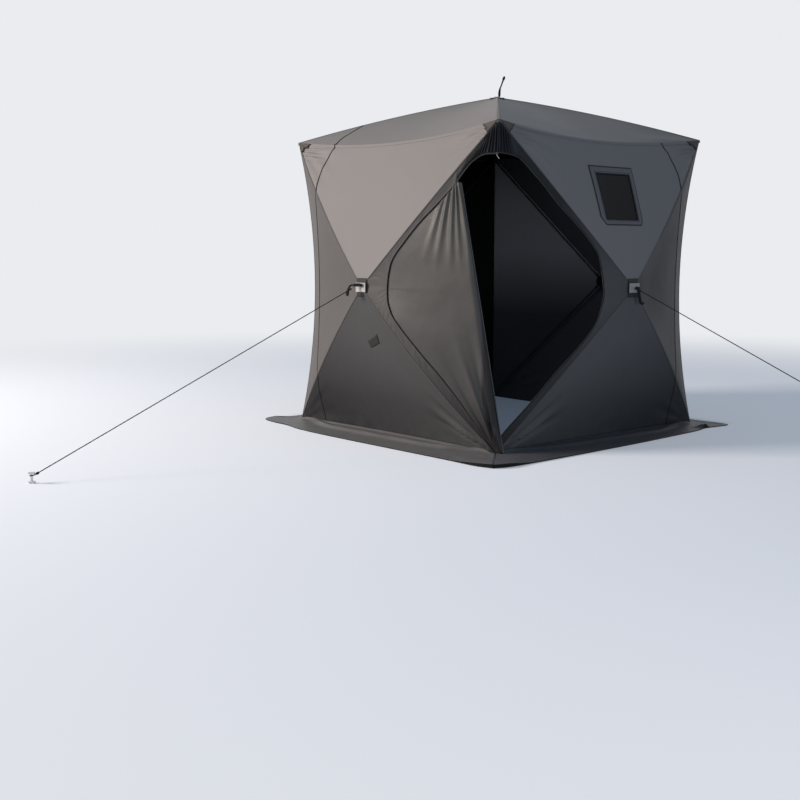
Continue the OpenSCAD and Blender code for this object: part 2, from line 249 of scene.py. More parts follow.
def cloth_finish(name, colour, roughness=0.58, grime=0.0, light_and_shade_tints=(), shine=0.15):
    """Coated polyester: yarns both ways, an uneven dye, soft creases and dust near the snow.

    Each tint is painted light or shade: a colour and its share, as a sum of the distance from the
    door's corner to either side, the height, the place across the UV map and a constant.
    """
    finish = Finish(name, Specular_IOR_Level=shine)
    place, flat = finish.place(), finish.flat()
    sideways, _, height = place.split()
    across = flat.split()[0]
    uneven = finish.noise(place, 2.3, 3)
    specks = finish.noise(flat, 420, 1)
    warp = finish.noise(finish.stretched(flat, 1, 0.12, 1), 520, 1)
    weft = finish.noise(finish.stretched(flat, 0.12, 1, 1), 520, 1)
    shade = (uneven - 0.5) * 0.22 + (specks - 0.5) * 0.10 + 0.5
    body = finish.mix(shade, darker(colour, 0.8), darker(colour, 1.2))
    # Painted light and shade, mixed into the cloth's colour
    for tint, by_side, by_z, by_flat, start in light_and_shade_tints:
        share = abs(sideways) * by_side + height * by_z + across * by_flat
        clamped = finish.node("Math", {"use_clamp": True}, {0: share, 1: start})
        body = finish.mix(clamped, body, tint)
    if grime:
        low = finish.node("MapRange", {}, {"Value": height, "From Min": GRIME_TO, "From Max": 0.0})
        body = finish.mix(low * finish.noise(place, 14, 4) * grime, body, DUST)
    creased = finish.bump(finish.noise(place, 5, 2), 0.004)
    finish.paint(
        Base_Color=body,
        Roughness=(uneven - 0.5) * 0.2 + (specks - 0.5) * 0.1 + roughness,
        Normal=finish.bump(warp + weft, 0.00035, creased),
    )
    return finish.material


def webbing_finish(name, colour, pitch=0.0022):
    """Woven webbing, with its ribs across the UV map's length."""
    finish = Finish(name, Specular_IOR_Level=0.2)
    across, along, _ = finish.flat().split()
    ribs = along.wave(pitch) * 0.5 + across.wave(pitch * 1.3) * 0.5
    fuzz = finish.noise(finish.flat(), 900, 2)
    finish.paint(
        Base_Color=finish.mix(ribs * 0.35 + fuzz * 0.5, darker(colour, 0.6), darker(colour, 1.5)),
        Roughness=0.62 + fuzz * 0.2,
        Normal=finish.bump(ribs + fuzz, 0.0006),
    )
    return finish.material


def stitched_finish(name, colour, thread, rows, pitch=0.008):
    """Binding tape; each row is its place across, its half width and how much of it is gaps."""
    finish = Finish(name, Specular_IOR_Level=0.15)
    across, along, _ = finish.flat().split()
    weave = finish.noise(finish.flat(), 600, 2)
    dash = along.wave(pitch)
    stitches_and_shade = 0.0
    # Rows without gaps are solid lines in the thread's colour, which on the binding are also
    # painted shade
    for row, half_width, gaps in rows:
        far = abs(across - row).above(half_width)
        stitches_and_shade = (1 - far) * (dash.above(-0.35) if gaps < 1 else 1.0) + stitches_and_shade
    body = finish.mix(weave, darker(colour, 0.8), darker(colour, 1.2))
    finish.paint(
        Base_Color=finish.mix(stitches_and_shade.at_most(1), body, thread),
        Roughness=0.6 + weave * 0.15,
        Normal=finish.bump(weave * 0.4 - stitches_and_shade, 0.0008),
    )
    return finish.material


def moulded_finish(name, colour, roughness, metal=0.0, shine=0.4):
    """Moulded plastic, rubber or plated steel, with a fine grain and rubbed patches."""
    finish = Finish(name, Metallic=metal, Specular_IOR_Level=shine)
    place = finish.place()
    rub, grain = finish.noise(place, 38, 4), finish.noise(place, 900, 2)
    finish.paint(
        Base_Color=finish.mix(rub * 0.6 + grain * 0.4, darker(colour, 0.75), darker(colour, 1.25)),
        Roughness=roughness - 0.1 + rub * 0.2 + grain * 0.06,
        Normal=finish.bump(grain + rub, 0.0002),
    )
    return finish.material


LIGHT_CLOTH = cloth_finish("light_cloth", srgb(134, 130, 128))
DARK_CLOTH = cloth_finish("dark_cloth", srgb(90, 87, 86), 0.55)
# Painted shade: the door's left strip is darker towards the ground.
LEFT_STRIP_CLOTH = cloth_finish("left_strip_cloth", srgb(48, 46, 46), 0.55, light_and_shade_tints=[
    by_height(srgb(84, 82, 80), 0.10, 0.55), by_height(srgb(96, 93, 91), 0.70, 1.05),
])
# Painted shade: the lower cloth is darker towards the ground and towards the left and right
# corners; the grime is dust.
LOWER_CLOTH = cloth_finish(
    "lower_cloth", srgb(44, 44, 46), 0.55, grime=0.1, light_and_shade_tints=[(srgb(76, 75, 76), -1, 1.6, 0, 0.86)]
)
# Painted light: the lower cloth painted lighter on the front right wall, with the same painted
# shade towards the ground and the corners.
LIGHTENED_LOWER_CLOTH = cloth_finish(
    "lightened_lower_cloth", srgb(55, 55, 57), 0.55, grime=0.1,
    light_and_shade_tints=[(srgb(100, 98, 98), -1, 1.6, 0, 0.80)],
)
# Painted shade: a darker copy of the dark cloth, for the side of the front right wall.
SHADED_SIDE_CLOTH = cloth_finish("shaded_side_cloth", srgb(64, 62, 63), 0.55)
# Painted light and shade on the door's flap: lighter towards its top, darker towards its foot and
# free edge, and darkest on the roll and the cloth turned in behind it, which turn away from the
# light.
FLAP_CLOTH = cloth_finish("flap_cloth", srgb(73, 71, 70), 0.36, shine=0.22, light_and_shade_tints=[
    by_height(srgb(84, 82, 78), 0.7, 1.4), by_height(srgb(48, 46, 45), 0.30, 0.06),
    by_width(srgb(30, 29, 31), 0.09, 0.12), (srgb(26, 25, 28), 0, -7.3, 33, 2.5),
])
# Painted shade: the door's right strip is darker towards its top and its foot.
STRIP_CLOTH = cloth_finish("strip_cloth", srgb(88, 87, 87), 0.5, light_and_shade_tints=[
    by_height(srgb(50, 50, 53), 0.80, 0.40), by_height(srgb(22, 23, 28), 0.24, 0.08),
    by_height(srgb(30, 32, 36), 1.0, 1.4),
])
HEAD_CLOTH = cloth_finish("head_cloth", srgb(31, 34, 43), 0.42)
# Painted light: the head's black pleated cloth is painted grey near the pole's line, where its
# pleats catch the light, and painted shade keeps it dark beyond that and at the top.
PLEATED_CLOTH = cloth_finish("pleated_cloth", srgb(84, 82, 80), 0.45, light_and_shade_tints=[
    by_width(srgb(22, 24, 30), 0.026, 0.046), by_height(srgb(22, 24, 30), 1.66, 1.71),
])
SKIRT_CLOTH = cloth_finish("skirt_cloth", srgb(102, 99, 98), 0.5, grime=0.2)
# Painted shadow: a darker, bluer copy of the skirt cloth for the front right skirt, which lies in
# the shelter's shadow, painted lighter towards the front corner.
SHADED_SKIRT_CLOTH = cloth_finish(
    "shaded_skirt_cloth", srgb(60, 61, 67), 0.5, grime=0.1, light_and_shade_tints=[(srgb(84, 83, 87), -5, 0, 0, 1.4)]
)
# Painted shade: the skirt's hem, turned under its edge, is painted near black for the shade beneath
# it.
HEM_SHADE_CLOTH = cloth_finish("hem_shade_cloth", srgb(14, 14, 16), 0.7)
INNER_CLOTH = cloth_finish("inner_cloth", srgb(18, 18, 20), 0.7)
# Painted light: a lighter copy of the black inner coating, lighter still towards the top, for the
# inside of the back right wall's sides seen through the door.
LIT_INNER_SIDE = cloth_finish("lit_inner_side_cloth", srgb(100, 101, 108), 0.6, light_and_shade_tints=[
    by_height(srgb(192, 192, 198), 0.64, 1.10),
])
# Painted light: a lighter copy of the black inner coating for the inside of the back right wall's
# upper and lower cloth, seen through the door.
LIT_INNER_BACK = cloth_finish("lit_inner_back_cloth", srgb(106, 106, 112), 0.6)
PATCH_CLOTH = cloth_finish("patch_cloth", srgb(80, 76, 72), 0.55)
PATCH_EDGE = cloth_finish("patch_edge_cloth", srgb(50, 46, 43), 0.6)
SEAM_CLOTH = cloth_finish("seam_cloth", srgb(86, 83, 81), 0.5)
# The binding's solid dark rows along both its edges are its stitched outline and painted shade of
# its folded edges; the row between is stitching.
BINDING = stitched_finish("binding", srgb(114, 112, 112), srgb(44, 44, 48), (
    (0.0025, 0.0022, 1), (0.010, 0.0012, 0.3), (0.035, 0.003, 1),
))
TAB_CLOTH = stitched_finish("tab_cloth", srgb(62, 60, 58), srgb(26, 26, 28), (
    (0.004, 0.0015, 0.3), (0.088, 0.0015, 0.3),
))
PIPING = webbing_finish("piping", srgb(38, 36, 37), 0.003)
WINDOW_CORD = webbing_finish("window_cord", srgb(78, 78, 82), 0.003)
WEBBING = webbing_finish("webbing", srgb(26, 26, 28))
ROPE = webbing_finish("rope", srgb(42, 42, 44), 0.004)
ZIP_TAPE = webbing_finish("zip_tape", srgb(36, 36, 38), 0.0016)
# The open teeth are a lighter grey than the closed ones: their own colour with a painted glint.
ZIP_TEETH = moulded_finish("zip_teeth", srgb(104, 103, 104), 0.38)
CLOSED_TEETH = moulded_finish("closed_teeth", srgb(52, 52, 56), 0.4)
SLIDER_METAL = moulded_finish("slider_metal", srgb(165, 165, 168), 0.3, metal=0.6)
PLATE_METAL = moulded_finish("plate_metal", srgb(176, 172, 168), 0.38)
HUB_PLASTIC = moulded_finish("hub_plastic", srgb(34, 34, 36), 0.45)
RUBBER = moulded_finish("rubber", srgb(30, 30, 31), 0.7)
FIBREGLASS = moulded_finish("fibreglass", srgb(58, 60, 62), 0.3)
STEEL = moulded_finish("steel", srgb(190, 190, 192), 0.32, metal=1.0)
# Painted shade: the clear film is painted near black for the dark inside seen through it.
WINDOW_FILM = moulded_finish("window_film", srgb(17, 19, 23), 0.3, shine=0.06)


def grid(columns, rows, place, size=(1, 1), taper=False, from_edge=False):
    """A sheet of faces with place(u, v) as its points, and a UV map in metres."""
    bm = bmesh.new()
    bmesh.ops.create_grid(bm, x_segments=columns, y_segments=rows, size=0.5)
    layer = bm.loops.layers.uv.new("flat")
    for loop in (loop for face in bm.faces for loop in face.loops):
        x, y = loop.vert.co.x + (0.5 if from_edge else 0), loop.vert.co.y + 0.5
        loop[layer].uv = (x * size[0] * (1 - y if taper else 1), y * size[1])
    for vert in bm.verts:
        vert.co = place(vert.co.x + 0.5, vert.co.y + 0.5)
    return bm


def facing_out(bm, middle=MIDDLE):
    """Turns a sheet so that its front faces away from a place, which is the shelter's middle."""
    bm.normal_update()
    if sum(f.normal.dot(f.calc_center_median() - middle) for f in bm.faces) < 0:
        bmesh.ops.reverse_faces(bm, faces=bm.faces)
    return bm


def sweep(path, profile, sides, up, closed=True):
    """A closed profile carried along a path; profile(angle, i) is sideways and up."""
    rows = len(path) - 1
    ups = up if isinstance(up, list) else [up] * len(path)
    frames = []
    for i, point in enumerate(path):
        tangent = (path[min(i + 1, rows)] - path[max(i - 1, 0)]).normalized()
        sideways = tangent.cross(ups[i]).normalized()
        frames.append((point, sideways, sideways.cross(tangent)))

    def place(u, v):
        point, sideways, over = frames[round(v * rows)]
        a, b = profile(2 * math.pi * u, round(v * rows))
        return point + sideways * a + over * b

    length = sum((q - p).length for p, q in zip(path, path[1:]))
    bm = grid(sides, rows, place, (0.06, length))
    bmesh.ops.remove_doubles(bm, verts=bm.verts, dist=1e-6)
    if closed:
        bmesh.ops.holes_fill(bm, edges=[e for e in bm.edges if e.is_boundary], sides=0)
    bmesh.ops.recalc_face_normals(bm, faces=bm.faces)
    return bm


def round_bar(radius):
    """A round section, with a radius that may be a function of the place along the path."""

    def section(angle, i):
        r = radius(i) if callable(radius) else radius
        return r * math.cos(angle), r * math.sin(angle)

    return section


def flat_bar(width, thickness, power=0.35):
    """A strap's section, flat with round edges."""

    def section(angle, i):
        a, b = math.cos(angle), math.sin(angle)
        return (
            width / 2 * math.copysign(abs(a) ** power, a),
            thickness / 2 * math.copysign(abs(b) ** power, b),
        )

    return section


def smooth_path(points, spacing):
    """Points at an even spacing on a curve through the given ones."""
    ends = [2 * points[0] - points[1], *points, 2 * points[-1] - points[-2]]
    fine = []
    for a, b, c, d in zip(ends, ends[1:], ends[2:], ends[3:]):
        for step in range(24):
            t = step / 24
            bend, twist = 2 * a - 5 * b + 4 * c - d, 3 * b - a - 3 * c + d
            fine.append(0.5 * (2 * b + (c - a) * t + bend * t * t + twist * t**3))
    fine.append(points[-1])
    return even_path(fine, spacing)


def even_path(points, spacing):
    """The same line with points at an even spacing."""
    lengths = [0.0]
    for p, q in zip(points, points[1:]):
        lengths.append(lengths[-1] + (q - p).length)
    count = max(2, round(lengths[-1] / spacing))
    even, k = [], 0
    for i in range(count + 1):
        aim = lengths[-1] * i / count
        while k < len(points) - 2 and lengths[k + 1] < aim:
            k += 1
        span = max(lengths[k + 1] - lengths[k], 1e-9)
        even.append(points[k].lerp(points[k + 1], min((aim - lengths[k]) / span, 1)))
    return even


class Piece:
    """A named piece: meshes are added to it, and done() puts it in the scene."""

    def __init__(self, name, slot, *materials):
        self.name, self.slot, self.materials = name, slot, materials
        self.bm = bmesh.new()

    def add(self, bm, material=0, turn=None, pick=None):
        if turn:
            bm.transform(turn.to_4x4() if len(turn) == 3 else turn)
        for face in bm.faces:
            face.smooth = True
            face.material_index = pick(face) if pick else material
        mesh = bpy.data.meshes.new("part")
        bm.to_mesh(mesh)
        bm.free()
        self.bm.from_mesh(mesh)
        bpy.data.meshes.remove(mesh)
        return self

    def done(self, replaces=(), thickness=0.0, inner=None, edge_angle=None):
        self.bm.transform(Matrix.Translation(FLOOR_MIDDLE))
        piece = from_bmesh(self.name, self.bm, *self.materials)
        if thickness:
            shell = piece.modifiers.new("thickness", "SOLIDIFY")
            shell.thickness, shell.offset = thickness, -1
            if inner:
                shell.material_offset = inner
        if edge_angle:
            piece.data.set_sharp_from_angle(angle=math.radians(edge_angle))
        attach(piece, "root")
        if replaces:
            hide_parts(*replaces)
        return piece


# Brings the highest r * (1 - r) ** 2 to 1
TO_ONE = 6.75


def fan_folds(root, reach, density, height, seed):
    """Folds that fan out from a root and die away over the reach."""

    def fold(p):
        offset = p - root
        r = offset.length / reach
        if not 0 < r < 1:
            return 0
        angle = math.atan2(offset.z, math.hypot(offset.x, offset.y))
        uneven = noise.noise(Vector((angle * density, seed, r * 0.7)))
        return height * TO_ONE * r * (1 - r) ** 2 * uneven

    return fold


def rays(root, reach, lines, across=None):
    """Ridges that run from a root: each has an angle off the vertical, a width and a height."""

    def fold(p):
        offset = p - root
        r = offset.length
        if not 0 < r < reach:
            return 0
        side = offset.dot(across) if across else math.hypot(offset.x, offset.y)
        angle = math.atan2(side, abs(offset.z))
        fade = min(r / 0.16, 1) * (1 - smooth((r / reach - 0.3) / 0.7))
        return fade * sum(size * bell(angle - at, width) for at, width, size in lines)

    return fold


def corner_gathers(root, first, last, height, pitch=0.19):
    """Short folds side by side just beyond a corner, between two angles off the vertical."""

    def fold(p):
        offset = p - root
        r = offset.length
        if not 0.05 < r < 0.30:
            return 0
        angle = math.atan2(math.hypot(offset.x, offset.y), abs(offset.z))
        held = smooth((angle - first) / 0.1) * smooth((last - angle) / 0.1)
        uneven = noise.noise(Vector((angle * 4, r * 6, 7))) * 1.4
        fade = smooth((r - 0.05) / 0.04) * (1 - smooth((r - 0.11) / (0.13 + 0.06 * uneven)))
        return height * held * fade * math.sin(2 * math.pi * angle / pitch + uneven)

    return fold


# How far the gathers reach along an eave and below it, and the patch that covers their root
GATHER_REACH, PATCH_SIZE = (0.34, 0.18), (0.128, 0.073)


def eave_gathers(root, height, pitch=0.027):
    """Short folds side by side that run along the eave from its corner's patch."""

    def fold(p):
        along, below = abs(p.x - root.x), root.z - p.z
        if not (along < GATHER_REACH[0] and 0 < below < GATHER_REACH[1]):
            return 0
        down = below - 0.12 * along
        past_patch = smooth((along / PATCH_SIZE[0] + below / PATCH_SIZE[1] - 1) / 0.2)
        fade = past_patch * (1 - smooth((along - 0.15) / 0.16)) * smooth(down / 0.008)
        uneven = noise.noise(Vector((along * 9, down * 30, 7)))
        fade *= 1 - smooth((down - 0.07 - 0.03 * uneven) / 0.05)
        return height * fade * math.sin(2 * math.pi * down / pitch + 1.5 * uneven)

    return fold


class Cloth:
    """A triangle of cloth from a free edge to a hub, in a wall drawn facing -Y.

    Its shares u and v go along the free edge from start to end, and from it to the tip.
    """

    def __init__(self, wall, start, end, tip, bows, sag, folds=(), crease=None):
        self.wall, self.start, self.end, self.tip = wall, start, end, tip
        self.bows, self.sag, self.folds, self.crease = bows, sag, folds, crease
        self.width = (end - start).length
        self.height = ((start + end) / 2 - tip).length

    def base(self, u, v):
        left = self.start.lerp(self.tip, v) + arc(v) * self.bows[0]
        right = self.end.lerp(self.tip, v) + arc(v) * self.bows[1]
        return left.lerp(right, u) + arc(u) * (1 - v) * self.sag

    def normal(self, u, v, step=0.004):
        v = min(v, 0.98)
        normal = (self.base(u + step, v) - self.base(u - step, v)).cross(
            self.base(u, v + step) - self.base(u, v - step)
        )
        normal.normalize()
        return normal if normal.dot(self.base(u, v) - MIDDLE) > 0 else -normal

    def relief(self, u, v, p):
        held = smooth(min(u, 1 - u) * self.width * (1 - v) / 0.035) * smooth(v * self.height / 0.03)
        height = sum(fold(p) for fold in self.folds) * held
        return height + (self.crease(u, v) if self.crease else 0)

    def point(self, u, v, lift=0.0):
        """A point on the finished cloth, or lift metres outside it."""
        p = self.base(u, v)
        p = p + self.normal(u, v) * (lift + self.relief(u, v, p))
        return TURNS[self.wall] @ p

    def out(self, u, v):
        return TURNS[self.wall] @ self.normal(u, v)

    def share_over(self, x, z):
        """The shares of the point that lies at x and z on the wall as drawn."""
        u, v, step = 0.5, 0.3, 1e-4
        for _ in range(8):
            p = self.base(u, v)
            du, dv = (self.base(u + step, v) - p) / step, (self.base(u, v + step) - p) / step
            det = du.x * dv.z - dv.x * du.z
            ex, ez = x - p.x, z - p.z
            u += (ex * dv.z - dv.x * ez) / det
            v += (du.x * ez - ex * du.z) / det
        return u, v

    def grid(self, columns, rows):
        def place(u, v):
            return self.point(u, v * HUB_END)

        return facing_out(grid(columns, rows, place, (self.width, self.height), taper=True))


def pole_bows(wall, side):
    """How the poles at one side of a wall bow, above and below its hub."""
    by_door = (wall, side) == (FRONT_LEFT, 1)
    bows = (DOOR_UPPER_BOW, DOOR_LOWER_BOW) if by_door else (POLE_BOW, POLE_BOW)
    return [Vector((side * sideways, -out, 0)) for out, sideways in bows]


# The seam line near each outer corner bends the cloth round it
CREASE_END, CREASE_MIDDLE, CREASE_H = 0.36, 0.232, 0.016


def crease_share(u):
    return CREASE_MIDDLE + (CREASE_END - CREASE_MIDDLE) * (2 * u - 1) ** 2


def corner_crease(u, v):
    line = crease_share(u)
    tent = v / line if v < line else max(0, 1 - (v - line) / 0.5)
    return CREASE_H * tent * math.sqrt(max(arc(u), 0))


EAVE_SAG = Vector((0, EAVE_PULL, -EAVE_DROP))


def upper_cloth(wall):
    folds = [fan_folds(corner, 0.6, 7, 0.006, 3 + wall) for corner in (TL, TR)]
    folds += [eave_gathers(corner, 0.0068) for corner in (TL, TR)]
    return Cloth(wall, TR, TL, HUB, [pole_bows(wall, side)[0] for side in (1, -1)], EAVE_SAG, folds)


def lower_cloth(wall):
    folds = [fan_folds(corner, 0.60, 8, 0.007, 13 + wall) for corner in (BL, BR)]
    folds += [corner_gathers(corner, 0.85, 1.5, 0.005) for corner in (BL, BR)]
    door_foot = BR if wall in (FRONT_LEFT, BACK_RIGHT) else BL
    folds.append(rays(door_foot, 0.62, (
        (1.12, 0.045, 0.026), (0.94, 0.035, 0.012), (0.80, 0.03, 0.007),
        (1.24, 0.04, -0.020), (1.02, 0.03, -0.011),
    )))
    sag = Vector((0, BASE_PULL, 0))
    return Cloth(wall, BL, BR, HUB, [pole_bows(wall, side)[1] for side in (-1, 1)], sag, folds)


def side_cloth(wall, side, folds=(), crease=None, from_top=True):
    """The triangle at one side of a wall: -1 is its left and 1 its right."""
    corners, bows = (TR, BR) if side > 0 else (TL, BL), pole_bows(wall, side)
    if not from_top:
        corners, bows = corners[::-1], bows[::-1]
    return Cloth(wall, *corners, HUB, bows, Vector((-side * FOLD_IN, FOLD_IN, 0)), folds, crease)


def outer_side(wall, side):
    top, foot, seed = (TR, BR, 33 + wall) if side > 0 else (TL, BL, 23 + wall)
    folds = [fan_folds(top, 0.45, 9, 0.005, seed), fan_folds(foot, 0.5, 9, 0.007, seed + 1)]
    return side_cloth(wall, side, folds, corner_crease, from_top=side < 0)


def roof_cloth(wall):
    bow = Vector((0, 0, ROOF_BOW))
    folds = [fan_folds(corner, 0.7, 8, 0.007, 43 + wall) for corner in (TL, TR)]
    return Cloth(wall, TL, TR, TOP, (bow, bow), EAVE_SAG, folds)


uppers = [upper_cloth(wall) for wall in WALLS]
lowers = [lower_cloth(wall) for wall in WALLS]
roofs = [roof_cloth(wall) for wall in WALLS]
OUTER_SIDES = {
    (FRONT_LEFT, -1): "left", (FRONT_RIGHT, 1): "right", (BACK_RIGHT, -1): "right",
    (BACK_RIGHT, 1): "back", (BACK_LEFT, -1): "back", (BACK_LEFT, 1): "left",
}
sides = {place: outer_side(*place) for place in OUTER_SIDES}
DOOR_SIDES = (FRONT_LEFT, 1), (FRONT_RIGHT, -1)
sides.update((place, side_cloth(*place)) for place in DOOR_SIDES)

# Window: hole, pane and binding on the front right wall, and again on the back left one
BINDING_TOP, BINDING_SIDES, BINDING_FOOT = 0.043, (0.050, 0.036), 0.029


def pane_corners(top, sides, foot, cuts=(0, 0)):
    """The outline of the pane or of its binding as x and z, clockwise from the top left."""
    high, low = CORNER_H - PANE_DROP + top, CORNER_H - PANE_DROP - PANE_H - foot
    a, b = PANE_W / 2 + sides[0], PANE_W / 2 + sides[1]
    c, d = a - PANE_TAPER, b - PANE_TAPER
    left, right = cuts
    foot_line = [(d, low + right), (d - right * 0.6, low), (left - c, low), (-c, low + left)]
    return [(-a, high), (b, high), *foot_line]


def cut_window(bm, wall):
    """Cuts the pane's shape out of a wall's upper cloth."""
    corners = [c for i, c in enumerate(pane_corners(0, (0, 0), 0)) if i in (0, 1, 3, 4)]
    middle = TURNS[wall] @ Vector((0, -HALF, CORNER_H - PANE_DROP - PANE_H / 2))
    near = [f for f in bm.faces if (f.calc_center_median() - middle).length < 0.4]
    planes = []
    for (x, z), (x2, z2) in zip(corners, corners[1:] + corners[:1]):
        co = TURNS[wall] @ Vector((x, -HALF, z))
        outward = TURNS[wall] @ Vector((z - z2, 0, x2 - x))
        planes.append((co, outward))
        edges, verts = {e for f in near for e in f.edges}, {v for f in near for v in f.verts}
        geom = [*near, *edges, *verts]
        cut = bmesh.ops.bisect_plane(bm, geom=geom, plane_co=co, plane_no=outward, dist=1e-5)
        near = [g for g in cut["geom"] if isinstance(g, bmesh.types.BMFace)]
    inside = [
        f for f in bm.faces
        if (f.calc_center_median() - middle).length < 0.4
        and all((f.calc_center_median() - co).dot(outward) < 0 for co, outward in planes)
    ]
    bmesh.ops.delete(bm, geom=inside, context="FACES")


def along_corners(corners, t):
    """The point at share t of the way round an outline, each edge taking as much."""
    step = (t % 1) * len(corners)
    i = int(step)
    a, b = corners[i], corners[(i + 1) % len(corners)]
    return Vector(a).lerp(Vector(b), step - i)


def window(wall):
    cloth = uppers[wall]

    def on_cloth(x, z, lift):
        return cloth.point(*cloth.share_over(x, z), lift)

    outline = [Vector(corner) for corner in pane_corners(0.006, (0.006, 0.006), 0.006)]
    pane = grid(16, 16, lambda u, v: on_cloth(
        *outline[0].lerp(outline[1], u).lerp(outline[4].lerp(outline[3], u), v), -0.0015
    ), (PANE_W, PANE_H))
    inner = pane_corners(-0.002, (-0.002, -0.002), -0.002)
    outer = pane_corners(BINDING_TOP, BINDING_SIDES, BINDING_FOOT, (BINDING_CUT, 0.6 * BINDING_CUT))

    def frame_point(u, v):
        shares = along_corners(inner, v).lerp(along_corners(outer, v), u)
        return on_cloth(*shares, 0.0014 + 0.0018 * arc(u) ** 0.5)

    binding = grid(10, 96, frame_point, (BINDING_W, 1.3), from_edge=True)
    edge = [on_cloth(*along_corners(outer, i / 120), 0.001) for i in range(121)]
    out = TURNS[wall] @ Vector((0, -1, 0))
    return pane, binding, sweep(edge, round_bar(0.0014), 8, out, closed=False)


CLOTH_T, FLAP_T, SKIRT_T, PATCH_T, BINDING_T, FILM_T = 0.002, 0.0015, 0.0012, 0.0014, 0.0012, 0.0006
# Rows of faces: more where the photograph shows the gathers at the eave
ROWS, FRONT_ROWS = 64, 130


def triangle_area(cloth):
    return cloth.width * cloth.height / 2


def cloth_piece(name, cloth, slot, material, inner=INNER_CLOTH, rows=ROWS, wall=None):
    bm = cloth.grid(72, rows)
    if wall is not None:
        cut_window(bm, wall)
    piece = Piece(name + "_cloth", slot, material, inner)
    made = piece.add(bm).done(replaces=[name], thickness=CLOTH_T, inner=1)
    triangle_area(cloth)


for wall, prefix in enumerate(WALL_NAMES):
    windowed = wall if wall in (FRONT_RIGHT, BACK_LEFT) else None
    # The back right wall's inside, seen through the door, takes the inner cloth with painted light
    inner = LIT_INNER_BACK if wall == BACK_RIGHT else INNER_CLOTH
    lower = LIGHTENED_LOWER_CLOTH if wall == FRONT_RIGHT else LOWER_CLOTH
    cloth_piece(prefix + "_roof_panel", roofs[wall], "light_cloth", LIGHT_CLOTH)
    cloth_piece(
        prefix + "_wall_upper", uppers[wall], "light_cloth", LIGHT_CLOTH, inner,
        rows=FRONT_ROWS if wall in (FRONT_LEFT, FRONT_RIGHT) else ROWS, wall=windowed,
    )
    cloth_piece(prefix + "_wall_lower", lowers[wall], "dark_cloth", lower, inner)
for (wall, side), place in OUTER_SIDES.items():
    outer = SHADED_SIDE_CLOTH if wall == FRONT_RIGHT else DARK_CLOTH
    # The back right wall's sides take the inner cloth with painted light
    inner = LIT_INNER_SIDE if wall == BACK_RIGHT else INNER_CLOTH
    name = f"{WALL_NAMES[wall]}_wall_{place}_side"
    cloth_piece(name, sides[wall, side], "dark_cloth", outer, inner)

window_panes = Piece("window_film", "clear_film", WINDOW_FILM)
window_frames = Piece("window_binding", "binding", BINDING)
window_edges = Piece("window_edge_cord", "binding", WINDOW_CORD)
for wall in (FRONT_RIGHT, BACK_LEFT):
    pane, binding, edge = window(wall)
    window_panes.add(facing_out(pane))
    window_frames.add(facing_out(binding))
    window_edges.add(edge)
window_panes.done(replaces=["window_panes"], thickness=FILM_T)
window_frames.done(replaces=["window_bindings"], thickness=BINDING_T)
window_edges.done()

# Door: the strips of cloth that hold the zip, in rows from the eave corner down to the
# ground; rows 0 to UP run beside the upper pole and the rest beside the lower one
LEFT_HALF, RIGHT_HALF = 0, 1
UP, RUN = 12, 8
LAST_ROW = 2 * UP + 1
FLAP_ROW, ROW_STEPS = 3.41, 20
# The zip's course on each half, above and below: its way towards the hub and its share of the
# way across from the nearer pole
ZIP_COURSES = (
    (
        (
            (0, .0955), (.035, .083), (.068, .068), (.105, .054), (.142, .045), (.179, .0405),
            (.217, .043), (.254, .050), (.30, .0555), (.38, .0585), (.46, .058), (.533, .056),
            (.60, .065), (.654, .082), (.713, .108), (.751, .159), (.769, .271), (.777, .388),
            (.780, .5),
        ),
        (
            (0, .002), (.03, .002), (.064, .009), (.119, .025), (.175, .0365), (.233, .050),
            (.292, .060), (.344, .068), (.397, .0745), (.469, .081), (.544, .093), (.622, .110),
            (.683, .134), (.735, .178), (.767, .282), (.776, .38), (.780, .5),
        ),
    ),
    (
        (
            (0, .095), (.042, .079), (.096, .059), (.142, .046), (.19, .043), (.237, .044),
            (.281, .044), (.336, .047), (.43, .059), (.578, .062), (.693, .096), (.734, .194),
            (.764, .5),
        ),
        (
            (0, .040), (.041, .038), (.086, .041), (.274, .044), (.433, .058), (.596, .066),
            (.711, .126), (.761, .348), (.764, .5),
        ),
    ),
)
half_cloths = [sides[place] for place in DOOR_SIDES]


def course_rows(course):
    """Shares of the zip, ROW_STEPS to a row: by the way to the hub up to RUN, then by length."""
    line = smooth_path([Vector((share, v, 0)) for v, share in course], 0.002)
    rows, k = [], 1
    for i in range(RUN * ROW_STEPS + 1):
        v = i / ROW_STEPS / UP * HUB_END
        while line[k].y < v:
            k += 1
        a, b = line[k - 1], line[k]
        rows.append(a.lerp(b, (v - a.y) / (b.y - a.y)))
    turn = [rows[-1], *line[k:]]
    length = sum((b - a).length for a, b in zip(turn, turn[1:]))
    rows += even_path(turn, length / ((UP - RUN) * ROW_STEPS))[1:]
    return [row.to_2d() for row in rows]


ZIP_ROWS = [[course_rows(course) for course in courses] for courses in ZIP_COURSES]


def half_row(half, part, j):
    """Shares of the zip at a row of the upper or lower part of one half."""
    rows = ZIP_ROWS[half][part]
    place = j * ROW_STEPS
    k = min(int(place), len(rows) - 2)
    return rows[k].lerp(rows[k + 1], place - k)


def door_row(half, s):
    """Shares of the pole's line and of the zip at row s."""
    if s <= UP:
        return Vector((0, s / UP * HUB_END)), half_row(half, 0, s)
    if s >= UP + 1:
        j = LAST_ROW - s
        zip_at = half_row(half, 1, j)
        return Vector((1, j / UP * HUB_END)), Vector((1 - zip_at.x, zip_at.y))
    above, below = door_row(half, UP), door_row(half, UP + 1)
    return tuple(a.lerp(b, s - UP) for a, b in zip(above, below))


